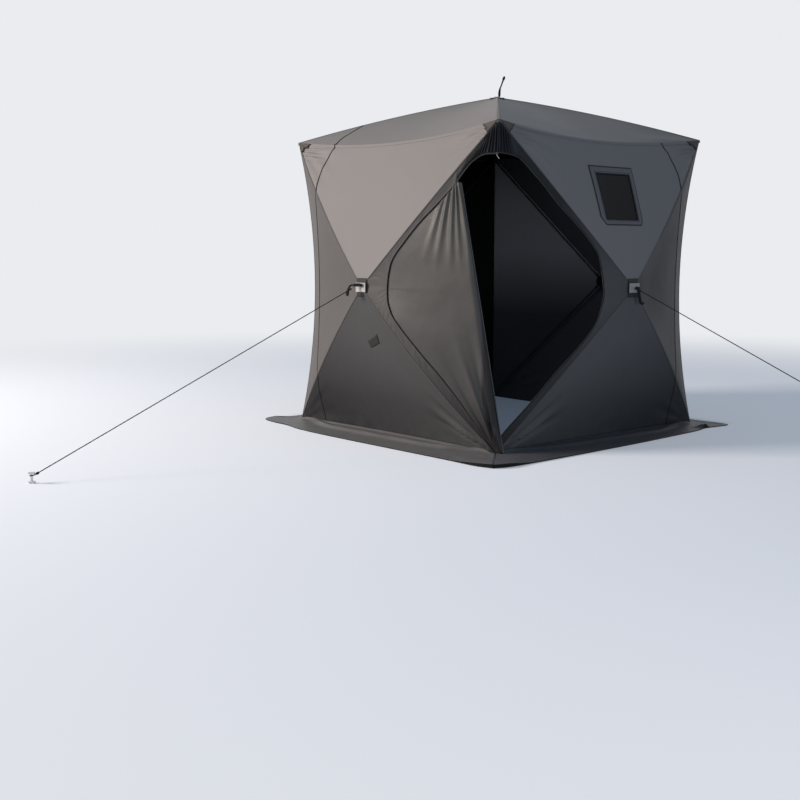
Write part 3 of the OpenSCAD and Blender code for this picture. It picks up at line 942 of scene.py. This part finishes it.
def zip_point(half, s, lift=0.0, back=0.0):
    """A point on the zip's line, or back metres from it towards the pole."""
    cloth = half_cloths[half]
    pole, line = door_row(half, s)
    p = cloth.point(*line, lift)
    return p + (cloth.point(*pole, lift) - p).normalized() * back if back else p


def zip_out(half, s):
    return half_cloths[half].out(*door_row(half, s)[1])


def pleat_row(u, s):
    """The row at the zip of the pleat through a point: pleats lean away from the eave corner."""
    row = s / (1 - 0.38 * (1 - u))
    return row if row < 1.58 else s + 0.6 * (1 - u)


def head_pleats(half, u, s):
    """Height of the gathered cloth's pleats, at share u from the pole's line to the zip."""
    row = pleat_row(u, s)
    count = row / 0.28 if row < 1.6 else 5.714 + (row - 1.6) / 0.20
    last = 3.5 if half == LEFT_HALF else 1.7
    fade = smooth((row + 0.3) / 0.3) * (1 - smooth((row - last + 0.8) / 0.8))
    uneven = noise.noise(Vector((row * 2.1, half, 5)))
    return 0.0042 * fade * (1 + 0.5 * uneven) * math.sin(2 * math.pi * (count + 0.35 * uneven))


# The gathered head, down to this row, takes half of a strip's faces
HEAD_ROWS = 3.6


def strip_row(t):
    """The row at a share of the way along a strip's faces."""
    return HEAD_ROWS * t / 0.5 if t < 0.5 else HEAD_ROWS + (LAST_ROW - HEAD_ROWS) * (t - 0.5) / 0.5


def surround_piece(half, name, head_row, head_cloth, strip_cloth):
    cloth, count, run = half_cloths[half], 460, 2.6

    def place(u, v):
        s = strip_row(v)
        pole, line = door_row(half, s)
        held = smooth(u * 5) * smooth((1 - u) * 8 + 0.25)
        pucker = 0.0016 * noise.noise(Vector((s * 3.1, u * 2, 60 + half))) * held
        return cloth.point(*pole.lerp(line, u), head_pleats(half, u, s) * held + pucker)

    bm = grid(24, count, place, (1, count), from_edge=True)
    widths = []
    for i in range(count + 1):
        pole, line = door_row(half, strip_row(i / count))
        widths.append((cloth.base(*pole) - cloth.base(*line)).length)
    layer = bm.loops.layers.uv.active
    in_head = set()
    for face in bm.faces:
        if strip_row(sum(loop[layer].uv.y for loop in face.loops) / 4 / count) < head_row:
            in_head.add(face.index)
        for loop in face.loops:
            uv = loop[layer].uv
            uv.x, uv.y = uv.x * widths[round(uv.y)], uv.y * run / count
    piece = Piece(name + "_cloth", "dark_cloth", head_cloth, strip_cloth, INNER_CLOTH)
    piece.add(facing_out(bm), pick=lambda face: int(face.index not in in_head))
    made = piece.done(replaces=[name], thickness=CLOTH_T, inner=2)


surround_piece(LEFT_HALF, "left_door_surround", FLAP_ROW, PLEATED_CLOTH, LEFT_STRIP_CLOTH)
surround_piece(RIGHT_HALF, "right_door_surround", 1.6, HEAD_CLOTH, STRIP_CLOTH)

# Zip: a tape sewn to the strips, with teeth along its edge, open round the head and on the right
def zip_run(half, first, last, closed):
    size = 0.0018 if closed else 0.0011

    def tooth(angle, i):
        radius = size if i % 2 else size * 0.65
        return radius * 1.2 * math.cos(angle), radius * math.sin(angle)

    rows = [first + (last - first) * i / 200 for i in range(201)]
    line = even_path([zip_point(half, s, 0.0022) for s in rows], 0.0032)
    teeth.add(sweep(line, tooth, 8, Vector((0, 0, 1))), material=int(closed))


tape = Piece("zip_tape", "zip", ZIP_TAPE, LEFT_STRIP_CLOTH)
teeth = Piece("zip_teeth", "zip", ZIP_TEETH, CLOSED_TEETH, SLIDER_METAL)
for half, first, last, closed in (
    (LEFT_HALF, 0, FLAP_ROW, False), (LEFT_HALF, FLAP_ROW, LAST_ROW, True),
    (RIGHT_HALF, 0, LAST_ROW, False),
):
    rows = [first + (last - first) * i / 260 for i in range(261)]
    back = [zip_point(half, s, 0.0012, 0.005) for s in rows]
    outs = [zip_out(half, s) for s in rows]
    tape.add(sweep(back, flat_bar(0.009, 0.0012), 10, outs), material=int(closed))
    zip_run(half, first, last, closed)

# The slider stands at the middle of the arch, with its pull hanging from it
slider_at = zip_point(LEFT_HALF, 0.08, 0.004)
SLIDER = ((-0.008, 0, 0), (0.008, 0, 0))
PULL = ((-0.004, -0.003, -0.006), (0.001, -0.005, -0.017), (0.011, -0.006, -0.031))
slider, pull = ([slider_at + Vector(step) for step in steps] for steps in (SLIDER, PULL))
to_front = Vector((0, -1, 0))
teeth.add(sweep(even_path(slider, 0.004), flat_bar(0.009, 0.008, 0.6), 12, to_front), material=1)
teeth.add(sweep(smooth_path(pull, 0.003), flat_bar(0.0036, 0.002, 0.5), 12, to_front), material=2)
tape.done(replaces=["door_zip"])
teeth.done()

# The door's cloth: it hangs from the left half of the zip, turns round at its free edge
# and is bunched up behind
FLAP_SIDE = Vector((3, 1, 0)).normalized()
flap_rows = LAST_ROW - FLAP_ROW
OUTER_SHARE, ROLL_SHARE, ROLL_TURN = 0.52, 0.74, math.radians(200)
# How far the flap's free edge stands off the line between the zip's ends, and the radius of
# the roll behind it, down its length
FREE_EDGE = (0.030, 0.052)
ROLL = ((0, 0.012), (0.18, 0.024), (0.4, 0.050), (0.65, 0.066), (0.85, 0.085), (1, 0.030))


def inward(p):
    return Vector((-p.x, -p.y, -HALF * (p.z / CORNER_H) ** 2)).normalized()


def drawn_zip(s):
    return half_cloths[LEFT_HALF].base(*door_row(LEFT_HALF, s)[1])


flap_top, flap_foot = drawn_zip(FLAP_ROW), drawn_zip(LAST_ROW)
# Folds fan from the flap's top, run down it, and gather again at its foot
hanging_folds = rays(flap_top + Vector((-0.016, 0, 0.12)), 0.66, (
    (0.20, 0.042, 0.014), (0.04, 0.042, 0.016), (-0.07, 0.034, 0.013), (-0.20, 0.045, 0.010),
    (0.34, 0.045, 0.009),
), -FLAP_SIDE)
foot_folds = rays(flap_foot + Vector((0, 0, 0.01)), 0.75, (
    (0.15, 0.04, 0.013), (0.41, 0.055, 0.017), (0.74, 0.06, 0.012), (0.26, 0.04, -0.011),
    (0.57, 0.05, -0.010),
), -FLAP_SIDE)


def through(table, t):
    """The value at t on a smooth course through pairs of a place and a value."""
    (start, a), (end, b) = next(pair for pair in zip(table, table[1:]) if t <= pair[1][0])
    return a + (b - a) * smooth((t - start) / (end - start))


def flap_point(u, v):
    hem = drawn_zip(FLAP_ROW + flap_rows * v) + 0.005 * inward(flap_top)
    off_line = FREE_EDGE[0] + (FREE_EDGE[1] - FREE_EDGE[0]) * v
    across = flap_top.lerp(flap_foot, v) + off_line * FLAP_SIDE - hem
    width = across.length
    across = across / width
    roll = min(through(ROLL, v), width / 2.6)
    straight = width - roll
    if u < OUTER_SHARE:
        share = u / OUTER_SHARE
        reach, depth, held = straight * share, 0.0, smooth(share * 6)
    elif u < ROLL_SHARE:
        turn = ROLL_TURN * (u - OUTER_SHARE) / (ROLL_SHARE - OUTER_SHARE)
        share, held = 1.0, smooth(1 - turn / math.radians(100))
        reach, depth = straight + roll * math.sin(turn), roll * (1 - math.cos(turn))
    else:
        back = (u - ROLL_SHARE) / (1 - ROLL_SHARE)
        share, held = 1 - back, 0
        bunch = 0.5 + 0.5 * noise.noise(Vector((back * 9, v * 1.2, 71)))
        reach = (straight + roll * math.sin(ROLL_TURN)) * (1 - back * FLAP_RETURN)
        depth = roll * (1 - math.cos(ROLL_TURN)) + 0.04 * arc(v) * bunch * smooth(back * 4)
    p = hem + across * reach
    lift = (hanging_folds(p) + foot_folds(p)) * held + 0.010 * arc(v) * arc(share * 0.7)
    return TURNS[FRONT_LEFT] @ (p + inward(p) * (depth - lift))


flap = Piece("door_flap_cloth", "dark_cloth", FLAP_CLOTH, INNER_CLOTH)
flap.add(facing_out(grid(150, 150, flap_point, (1.3, 1.7))))
flap = flap.done(replaces=["door_flap", "door_flap_turned_in"], thickness=FLAP_T)
# The other half of the zip shows as a thin light line on the roll, in the open teeth's grey with
# its painted glint
other_half = Piece("door_flap_zip_edge", "zip", ZIP_TEETH)
edge_share = OUTER_SHARE + 0.36 * (ROLL_SHARE - OUTER_SHARE)
edge_line = even_path([flap_point(edge_share, i / 200) for i in range(201)], 0.006)
other_half.add(sweep(edge_line, round_bar(0.0022), 8, Vector((0, 0, 1))))
other_half.done()

# Snow skirt: a loose strip of cloth on the ground along each wall. Each outline runs from the
# wall's left end to its right end; the back ones are gathered in beside the side corners
FRONT_TIP = (HALF + 0.295, -HALF - 0.315)
SKIRT_EDGES = {
    FRONT_LEFT: [
        (-1.075, -1.0), (-1.04, -1.08), (-0.985, -1.132), (-0.86, -1.155), (-0.70, -1.165),
        (-0.50, -1.205), (-0.1, -1.225), (0.80, -1.232), (0.99, -1.238), (1.10, -1.238), FRONT_TIP,
    ],
    FRONT_RIGHT: [
        (FRONT_TIP[1], -FRONT_TIP[0]), (-1.11, -1.225), (-0.80, -1.225), (-0.1, -1.205),
        (0.50, -1.165), (0.66, -1.145), (0.72, -1.13), (0.80, -1.128), (0.90, -1.142),
        (0.965, -1.142), (0.991, -1.121),
    ],
    BACK_RIGHT: [
        (-1.121, -0.991), (-1.04, -0.985), (-0.95, -0.979), (-0.87, -0.974), (-0.80, -1.01),
        (-0.72, -1.10), (-0.60, -1.19), (-0.3, -1.2), (0.3, -1.2), (0.9, -1.2), (1.03, -1.175),
        (1.09, -1.09),
    ],
    BACK_LEFT: [
        (-1.09, -1.09), (-1.03, -1.175), (-0.9, -1.2), (-0.3, -1.2), (0.3, -1.2), (0.62, -1.195),
        (0.72, -1.08), (0.80, -1.0), (0.87, -0.985), (0.95, -1.0), (1.0, -1.075),
    ],
}
skirt_edges = {
    wall: even_path(smooth_path([Vector((x, y, 0)) for x, y in points], 0.01), 0.012)
    for wall, points in SKIRT_EDGES.items()
}


# Share of a skirt's width where its edge is folded under as a hem
HEM_FROM = 0.86
# Heights of its ridge, of the roll at the wall's foot, of its ripples and of its edge at the front
# corner; how far out the ridge runs; and the arch in the front right one's edge
RIDGE_H, FOOT_H, RIPPLE_H, FRONT_H, RIDGE_OUT = 0.015, 0.009, 0.0018, 0.0165, 0.147
ARCH_H, ARCH_AT, ARCH_W = 0.027, 0.735, 0.032


def skirt_point(wall, u, v):
    edge_line = skirt_edges[wall]
    at = u * (len(edge_line) - 1)
    i = min(int(at), len(edge_line) - 2)
    outer = edge_line[i].lerp(edge_line[i + 1], at - i)
    inner = lowers[wall].base(u, 0)
    start = Vector((inner.x, inner.y - 0.001, 0))
    edge = outer - start
    top = min(v / HEM_FROM, 1)
    hem = max(0, (v - HEM_FROM) / (1 - HEM_FROM))
    far = edge.length * top
    at_front = u if wall == FRONT_LEFT else 1 - u if wall == FRONT_RIGHT else 0
    front_lift = smooth((at_front - 0.86) / 0.13)
    # A low ridge at the wall's foot and a broader one further out, which run together at the ends
    crest = min(RIDGE_OUT, edge.length * 0.5) * smooth(u / 0.32) * smooth((1 - u) / 0.3)
    wander = noise.noise(Vector((u * 6, wall, 80)))
    ends = smooth(min(u, 1 - u) / 0.05)
    ridge = RIDGE_H * (1 + 0.3 * wander) * bell(far - crest - 0.008 * wander, 0.026)
    ridge *= ends * smooth(far / 0.03)
    foot = FOOT_H * bell(far - 0.013, 0.015) * ends
    uneven = 1 + noise.noise(Vector((u * 13, top * 3, 88 + wall)))
    ripple = RIPPLE_H * uneven * smooth(top * 4) * ends
    z = 0.0024 + foot + ridge + ripple + 0.0022 * smooth((top - 0.8) / 0.2)
    z += FRONT_H * front_lift * smooth((top - 0.35) / 0.65)
    if wall == FRONT_LEFT:
        # One skirt's end lies over the other's at the front corner
        z += 0.0018 * smooth((u - 0.97) / 0.03)
    reach = top
    if wall == FRONT_RIGHT:
        z += ARCH_H * bell(start.lerp(outer, top).x - ARCH_AT, ARCH_W) * smooth((top - 0.60) / 0.38)
    if hem:
        back = 0.004 * hem + 0.043 * max(0, hem - 0.5) * 2
        z = z + (0.0006 - z) * smooth(hem * 2)
        reach = 1 - back / edge.length
    return TURNS[wall] @ (start + edge * reach + Vector((0, 0, z)))


UNDERGROUND = Vector((0, 0, -9))
for wall, prefix in enumerate(WALL_NAMES):
    name = prefix + "_snow_skirt"
    outer = SHADED_SKIRT_CLOTH if wall == FRONT_RIGHT else SKIRT_CLOTH
    piece = Piece(name + "_cloth", "skirt_cloth", outer, HEM_SHADE_CLOTH)
    columns, rows = (180, 64) if wall in (FRONT_LEFT, FRONT_RIGHT) else (120, 48)
    bm = grid(columns, rows, lambda u, v: skirt_point(wall, u, v), (2.3, SKIRT_W))
    facing_out(bm, UNDERGROUND)
    layer = bm.loops.layers.uv.active
    hem_at = (HEM_FROM - 0.005) * SKIRT_W
    # Faces of the hem get the near-black painted shade
    piece.add(bm, pick=lambda face: int(min(loop[layer].uv.y for loop in face.loops) > hem_at))
    made = piece.done(replaces=[name], thickness=SKIRT_T)

# Seams: bands over the poles, a welt along each eave and the line round each outer corner
seams = Piece("pole_seams", "dark_cloth", SEAM_CLOTH)
roof_seams = Piece("roof_seams", "light_cloth", LIGHT_CLOTH)
piping = Piece("corner_piping", "webbing", PIPING)


def add_band(piece, cloths, shares, width, thickness):
    """A band centred on the edge that two cloths share, facing between their two fronts."""
    (a, share_a), (b, share_b) = zip(cloths, shares)
    points, ups = [], []
    for (u, v), (s, t) in zip(share_a, share_b):
        up = (a.out(u, v) + b.out(s, t)).normalized()
        points.append(a.point(u, v) + up * 0.0006)
        ups.append(up)
    piece.add(sweep(points, flat_bar(width, thickness, 0.6), 10, ups))


def edge_shares(u, count=60):
    return [(u, HUB_END * i / count) for i in range(count + 1)]


for wall in WALLS:
    left, right = sides[wall, -1], sides[wall, 1]
    right_top = 0 if wall == FRONT_LEFT else 1
    upper, lower, roof = uppers[wall], lowers[wall], roofs[wall]
    for cloths, shares in (
        ((upper, left), (1, 0)), ((upper, right), (0, right_top)),
        ((lower, left), (0, 1)), ((lower, right), (1, 1 - right_top)),
    ):
        add_band(seams, cloths, [edge_shares(share) for share in shares], 0.007, 0.0014)
    add_band(roof_seams, (roof, roofs[wall - 1]), (edge_shares(0), edge_shares(1)), 0.008, 0.0018)
    out = upper.out(0.5, 0.1)
    eave = [upper.point(i / 60, 0) + out * 0.0040 - Vector((0, 0, 0.0070)) for i in range(61)]
    roof_seams.add(sweep(eave, flat_bar(0.018, 0.0030, 0.6), 12, out))
for wall, other in ((BACK_LEFT, FRONT_LEFT), (FRONT_RIGHT, BACK_RIGHT), (BACK_RIGHT, BACK_LEFT)):
    corner = [(i / 70, 0) for i in range(71)]
    back = [(1 - u, 0) for u, _ in corner]
    add_band(seams, (sides[wall, 1], sides[other, -1]), (corner, back), 0.008, 0.0016)
seams.done()
roof_seams.done()


# The line stands off the cloth where it crosses the eave's welt
OVER_HEM = 0.0045


def corner_line(wall, right, on_roof):
    """The thin seam line round one wall's outer corner, from the roof or eave to the ground."""
    side = sides[wall, 1 if right else -1]
    mirror = (lambda u: 1 - u) if right else (lambda u: u)
    steps = [i / 24 for i in range(25)]
    lines = [
        (roofs[wall], [(mirror(0.195 * t), 0.33 * (1 - t ** 1.15)) for t in steps]),
        (uppers[wall], [(1 - mirror(0.205 * (1 - t)), CREASE_END * t) for t in steps]),
        (side, [(1 - t if right else t, crease_share(t)) for t in steps]),
        (lowers[wall], [(mirror(0.135 * (1 - t ** 1.3)), CREASE_END * t) for t in steps[::-1]]),
    ]
    points, outs = [], []
    for cloth, shares in lines[0 if on_roof else 1:]:
        stand_off = OVER_HEM if cloth in (uppers[wall], roofs[wall]) else 0
        for u, v in shares[1 if points else 0:]:
            points.append(cloth.point(u, v, 0.0006 + stand_off * (1 - smooth(v / 0.03))))
            outs.append(cloth.out(u, v))
    piping.add(sweep(points, flat_bar(0.0085, 0.0024, 0.6), 10, outs))


for wall, right, on_roof in (
    (FRONT_LEFT, False, True), (BACK_LEFT, True, True), (FRONT_RIGHT, True, False),
    (BACK_RIGHT, False, False), (BACK_RIGHT, True, False), (BACK_LEFT, False, False),
):
    corner_line(wall, right, on_roof)
piping.done()

# Patches: one at each end of every eave, on a backing that shows as its rim, and a small square
# one beside the door
patches = Piece("corner_patches", "dark_cloth", PATCH_CLOTH, PATCH_EDGE)
for wall in WALLS:
    for right in (False, True):
        for edge, (lift, size) in enumerate(((0.0064, 0.066), (0.0052, 0.070))):
            def patch_point(u, v):
                share = size * u * (1 - v)
                shares = 1 - share if right else share, 0.002 + (size + 0.002) * v
                return uppers[wall].point(*shares, lift)
            patches.add(facing_out(grid(20, 20, patch_point, (0.14, 0.1))), material=edge)
PATCH_AT = [Vector(at) for at in ((0.494, 0.645), (0.676, 0.697), (0.667, 0.639), (0.525, 0.599))]


def square_patch_point(u, v):
    a, b, c, d = PATCH_AT
    return lowers[FRONT_LEFT].point(*a.lerp(b, u).lerp(d.lerp(c, u), v), 0.0020)


patches.add(facing_out(grid(8, 8, square_patch_point, (0.1, 0.06))), material=1)
patches.done(thickness=PATCH_T)

# Hubs: a stitched tab, a plate and a pull strap outside, and a moulded body inside
def hub_turn(wall):
    """Takes a hub drawn with its axis along +Z and its top away from +Y to its place."""
    if wall is None:
        return Matrix.Translation(TOP)
    facing_front = Matrix.Rotation(math.radians(90), 4, "X")
    return TURNS[wall].to_4x4() @ Matrix.Translation(HUB) @ facing_front


def tab_point(wall, x, y):
    """The cloth round a hub, which falls away from it on four sides, x and y from its middle."""
    if wall is None:
        if abs(x) > abs(y):
            cloth, a, b = roofs[1 if x > 0 else 3], y, abs(x)
        else:
            cloth, a, b = roofs[0 if y < 0 else 2], x, abs(y)
        drop = ROOF_RISE * b / HALF - 4 * ROOF_BOW * b / HALF
        return Vector((x, y, 0.0022 - drop + 0.001 * (HUB_HOLE / 2 > b)))
    stand_out = HUB_OUT - 4 * POLE_BOW[0]
    return Vector((x, y, 0.0026 - stand_out * max(abs(x) / HALF, abs(y) / HUB_H)))


def beveled_box(size, middle, width, inset=0.0):
    bm = bmesh.new()
    place = Matrix.Translation(middle) @ Matrix.Diagonal((*size, 1))
    bmesh.ops.create_cube(bm, size=1, matrix=place)
    if inset:
        top = [f for f in bm.faces if f.normal.z > 0.9]
        bmesh.ops.inset_region(bm, faces=top, thickness=inset, depth=0)
        bmesh.ops.inset_region(bm, faces=top, thickness=0.001, depth=-0.0012)
    rounding = {"affect": "EDGES", "segments": 2, "profile": 0.5, "material": -1}
    bmesh.ops.bevel(bm, geom=bm.edges[:], offset=width, **rounding)
    return bm


def lathe(profile, steps=40):
    """A closed turned shape from radius and height pairs."""
    bm = bmesh.new()
    verts = [bm.verts.new((r, 0, z)) for r, z in profile]
    edges = [bm.edges.new(pair) for pair in zip(verts, verts[1:])]
    turn = {"cent": (0, 0, 0), "axis": (0, 0, 1), "angle": 2 * math.pi}
    bmesh.ops.spin(bm, geom=verts + edges, steps=steps, use_merge=True, **turn)
    bmesh.ops.remove_doubles(bm, verts=bm.verts, dist=1e-6)
    bmesh.ops.recalc_face_normals(bm, faces=bm.faces)
    return bm


# The moulded body stands behind the cloth: a ribbed disc, a neck through the cloth, and a
# sleeve for each pole
HUB_BACK, HUB_T, ARM, ARM_D = 0.03004, 0.026, 0.074, 0.018
# Radii of the body, and heights above its inner face
BODY_PROFILE = (
    (0, 0), (0.012, 0), (0.013, 0.003), (0.028, 0.003), (0.030, 0), (0.0355, 0), (0.038, 0.0025),
    (0.038, 0.010), (0.036, 0.011), (0.036, 0.015), (0.038, 0.016), (0.038, 0.0235),
    (0.0355, 0.026), (0.0195, 0.026), (0.0185, 0.027), (0.0185, 0.05754), (0.0175, 0.05854),
    (0, 0.05854),
)
TOP_CUP, FOOT_CUP = Vector((0.8758, -0.8758, 1.7708)), Vector((0.8703, -0.8703, 0.018))


def sleeve(core, cup):
    toward = (cup - core).normalized()
    path = even_path([core, core + toward * ARM], 0.002)
    count = len(path) - 1

    def radius(i):
        waist, tip = 0.25 < i / count < 0.8, smooth((i / count - 0.96) / 0.04)
        return ARM_D / 2 * (1 - 0.08 * waist - 0.3 * tip)

    return sweep(path, round_bar(radius), 20, Vector((0, 0.3, 1)))


tabs = Piece("hub_tabs", "dark_cloth", TAB_CLOTH, LIGHT_CLOTH)
plates = Piece("hub_plates", "hub_plastic", PLATE_METAL)
for wall in (*WALLS, None):
    turn = hub_turn(wall)
    name = "roof" if wall is None else WALL_NAMES[wall]
    body = Piece(name + "_hub_body", "hub_plastic", HUB_PLASTIC)
    body.add(lathe([(r, z - HUB_BACK - HUB_T) for r, z in BODY_PROFILE]), turn=turn)
    core = TOP - Vector((0, 0, HUB_BACK)) if wall is None else HUB + Vector((0, HUB_BACK, 0))
    cups = [(TOP_CUP, a, b) for a in (1, -1) for b in (1, -1)] if wall is None else [
        (cup, a, 1) for cup in (TOP_CUP, FOOT_CUP) for a in (1, -1)
    ]
    for cup, a, b in cups:
        arm = sleeve(core, Vector((a * cup.x, b * cup.y, cup.z)))
        body.add(arm, turn=None if wall is None else TURNS[wall])
    body.done(replaces=[name + "_hub"], edge_angle=35)

    def place(u, v):
        return tab_point(wall, (u - 0.5) * TAB[0], (v - 0.5) * TAB[1])

    tabs.add(grid(12, 14, place, TAB, from_edge=True), turn=turn, material=int(wall is None))
    plate, low = ((0.036, 0.036), 0.001) if wall is None else (PLATE, 0.005)
    under = (plate[0] * 0.57, plate[1] * 0.64, 0.010)
    plates.add(beveled_box((*plate, 0.005), (0, 0, low), 0.0008, 0.005), turn=turn)
    plates.add(beveled_box(under, (0, 0, low - 0.006), 0.001), turn=turn)
tabs.done(thickness=PATCH_T)
plates.done(edge_angle=40)

# Pull straps: webbing knotted on the plate, with a thick folded end. Each has its course from
# the hub's middle and its widths and thicknesses, in millimetres, and the way its width faces
def strap_section(count, widths):
    def section(angle, i):
        place = i / count * (len(widths) - 1)
        k = min(int(place), len(widths) - 2)
        wide, thick = Vector(widths[k]).lerp(Vector(widths[k + 1]), smooth(place - k)) / 1000
        return flat_bar(wide, thick, 0.6)(angle, i)

    return section


LEFT_STRAP = (
    [
        (20, 14.3, 12), (16, 14, 16), (-2, 15, 22), (-18, 14, 30), (-25, 12, 36), (-30, 14, 44),
        (-37, 8.6, 54), (-41, -7, 62), (-46, -28, 66), (-49, -49, 67),
    ],
    [
        (14, 12), (19.5, 16), (19.5, 17), (17, 14), (7.5, 7.5), (10, 9), (12, 9), (17, 11),
        (22, 13), (16, 10),
    ],
    Vector((0.1, 0.2, 1)),
)
RIGHT_STRAP = (
    [
        (-3, 0, 14), (9, -4, 28), (10.5, -35, 32), (18, -59, 33), (29, -83, 33), (52, -89, 36),
    ],
    [
        (16, 14), (20, 17), (19, 16), (18, 15), (20, 16), (20, 14), (13, 10),
    ],
    Vector((0.1, 0.2, 1)),
)
ROOF_STRAP = (
    [
        (13.5, 0, 2), (14, 0, 14), (15, 0, 35), (18, 0, 53), (26, 0, 75), (36, 0, 102),
        (43, 0, 122), (45.5, 0, 130),
    ],
    [
        (14, 12), (18, 14), (19, 14), (16, 12), (11.5, 8), (11.5, 8), (11.5, 8), (12, 9),
        (18, 16), (10, 10),
    ],
    Vector((1, 0.2, 0.1)),
)
straps = Piece("pull_strap_webbing", "webbing", WEBBING)
for wall in (*WALLS, None):
    at_right = wall in (FRONT_RIGHT, BACK_LEFT)
    points, widths, up = ROOF_STRAP if wall is None else RIGHT_STRAP if at_right else LEFT_STRAP
    path = smooth_path([Vector(p) / 1000 for p in points], 0.0022)
    straps.add(sweep(path, strap_section(len(path) - 1, widths), 16, up), turn=hub_turn(wall))
straps.done(replaces=["pull_straps"])

# Guy ropes: three strands twisted, from a strap to its anchor
def strands(angle, i):
    swell = 1 + 0.14 * math.cos(3 * (angle + i * 0.55))
    return ROPE_D / 2 * swell * math.cos(angle), ROPE_D / 2 * swell * math.sin(angle)


for wall, strap_out in ((FRONT_LEFT, 0.062), (FRONT_RIGHT, 0.018)):
    prefix, up = WALL_NAMES[wall], Vector((0, 0, 1))
    start = HUB + Vector((0, -STRAP_BASE - strap_out, -0.006))
    end = Vector((0, -ANCHOR_REACH + NECK_D / 2 + ROPE_D, ANCHOR_TIE))
    along = (end - start).normalized()
    piece = Piece(prefix + "_guy_rope_cord", "webbing", ROPE)
    piece.add(sweep(even_path([start, end], 0.006), strands, 9, up), turn=TURNS[wall])
    for knot, size in ((start + along * 0.010, 0.0050), (end - along * 0.02, 0.0065)):
        coil = [knot + along * (0.018 * (i / 20 - 0.5)) for i in range(21)]
        swell = [size * (0.55 + 0.45 * arc(i / 20)) + 0.0009 * math.cos(i * 1.9) for i in range(21)]
        piece.add(sweep(coil, round_bar(lambda i: swell[i]), 12, up), turn=TURNS[wall])
    round_neck = [
        Vector((0, end.y - ROPE_D - NECK_D / 2, ANCHOR_TIE))
        + (NECK_D / 2 + ROPE_D / 2) * Vector((math.sin(a), math.cos(a), 0.15 * math.sin(a)))
        for a in (2 * math.pi * i / 24 for i in range(25))
    ]
    piece.add(sweep(round_neck, round_bar(ROPE_D / 2), 8, up, closed=False), turn=TURNS[wall])
    piece.done(replaces=[prefix + "_guy_rope"])

# Nodes that keep their shape get their finish here
for name, material in {
    **{prefix + "_wall_poles": FIBREGLASS for prefix in WALL_NAMES},
    "roof_poles": FIBREGLASS, "corner_cups": RUBBER, "ice_anchors": STEEL,
}.items():
    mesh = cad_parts[name].data
    mesh.materials.clear()
    mesh.materials.append(material)

# Floor, light and world: far off, the floor takes the colour of the backdrop behind it
BACKDROP, SKY = srgb(234, 236, 239), (0.115, 0.165, 0.24)
# The ground inside the shelter and round it, as the camera sees it
# SNOW_GLOW is a painted bluish glow for the snow in shade that the camera sees inside the shelter
SNOW_LIT, SNOW_SEEN, SNOW_GLOW = srgb(172, 175, 180), srgb(232, 235, 240), (0.035, 0.048, 0.072)
floor_paint = Finish("floor_paint", Roughness=0.85, Specular_IOR_Level=0.0, Emission_Strength=1.0)
x, y, _ = floor_paint.place().split()


def grow(value, near, end):
    values = {"Value": value, "From Min": near, "From Max": end}
    return floor_paint.node("MapRange", {"interpolation_type": "SMOOTHSTEP"}, values)


# Painted shade under the shelter: within its footprint the floor glows only with SNOW_GLOW; round
# it with a share of the backdrop that grows to the whole far off
far, outside = grow((x * x + y * y) ** 0.5, 3.0, 9.0), grow(abs(x) + abs(y), 1.32, 1.60)
seen = floor_paint.seen()
floor_paint.paint(
    Base_Color=floor_paint.mix(far * seen, floor_paint.mix(seen, SNOW_LIT, SNOW_SEEN), (0, 0, 0)),
    Emission_Color=floor_paint.mix(seen, (0, 0, 0), floor_paint.mix(
        outside, SNOW_GLOW, floor_paint.mix(far, darker(BACKDROP, 0.30), BACKDROP)
    )),
)
bm = bmesh.new()
bmesh.ops.create_grid(bm, x_segments=1, y_segments=1, size=60)
floor = from_bmesh("floor", bm, floor_paint.material)
floor.location = FLOOR_MIDDLE - Vector((0, 0, 0.001))

# The last lamp stands for daylight that comes through the roof's cloth
for name, place, aim, size, power, colour in (
    ("key_lamp", (-11.1, -2.4, 4.3), (0, 0, 1.0), 3.5, 1500, (1.0, 0.90, 0.82)),
    ("front_fill", (3.6, -7.6, 0.8), (0, 0, 1.0), 2.5, 105, (0.80, 0.90, 1.0)),
    ("roof_glow", (0, 0, 1.86), (0, 0, 0), 0.5, 1.25, (0.88, 0.93, 1.0)),
):
    lamp = in_scene(name, bpy.data.lights.new(name, "AREA"))
    lamp.data.size, lamp.data.energy, lamp.data.color = size, power, colour
    lamp.location = Vector(place) + FLOOR_MIDDLE
    lamp.rotation_euler = (Vector(place) - Vector(aim)).to_track_quat("Z", "Y").to_euler()

world = bpy.data.worlds.new("studio")
world.use_nodes = True
bpy.context.scene.world = world
sky = Nodes(world.node_tree)
sky.plug(sky.tree.nodes["Background"].inputs["Color"], sky.mix(sky.seen(), SKY, BACKDROP))
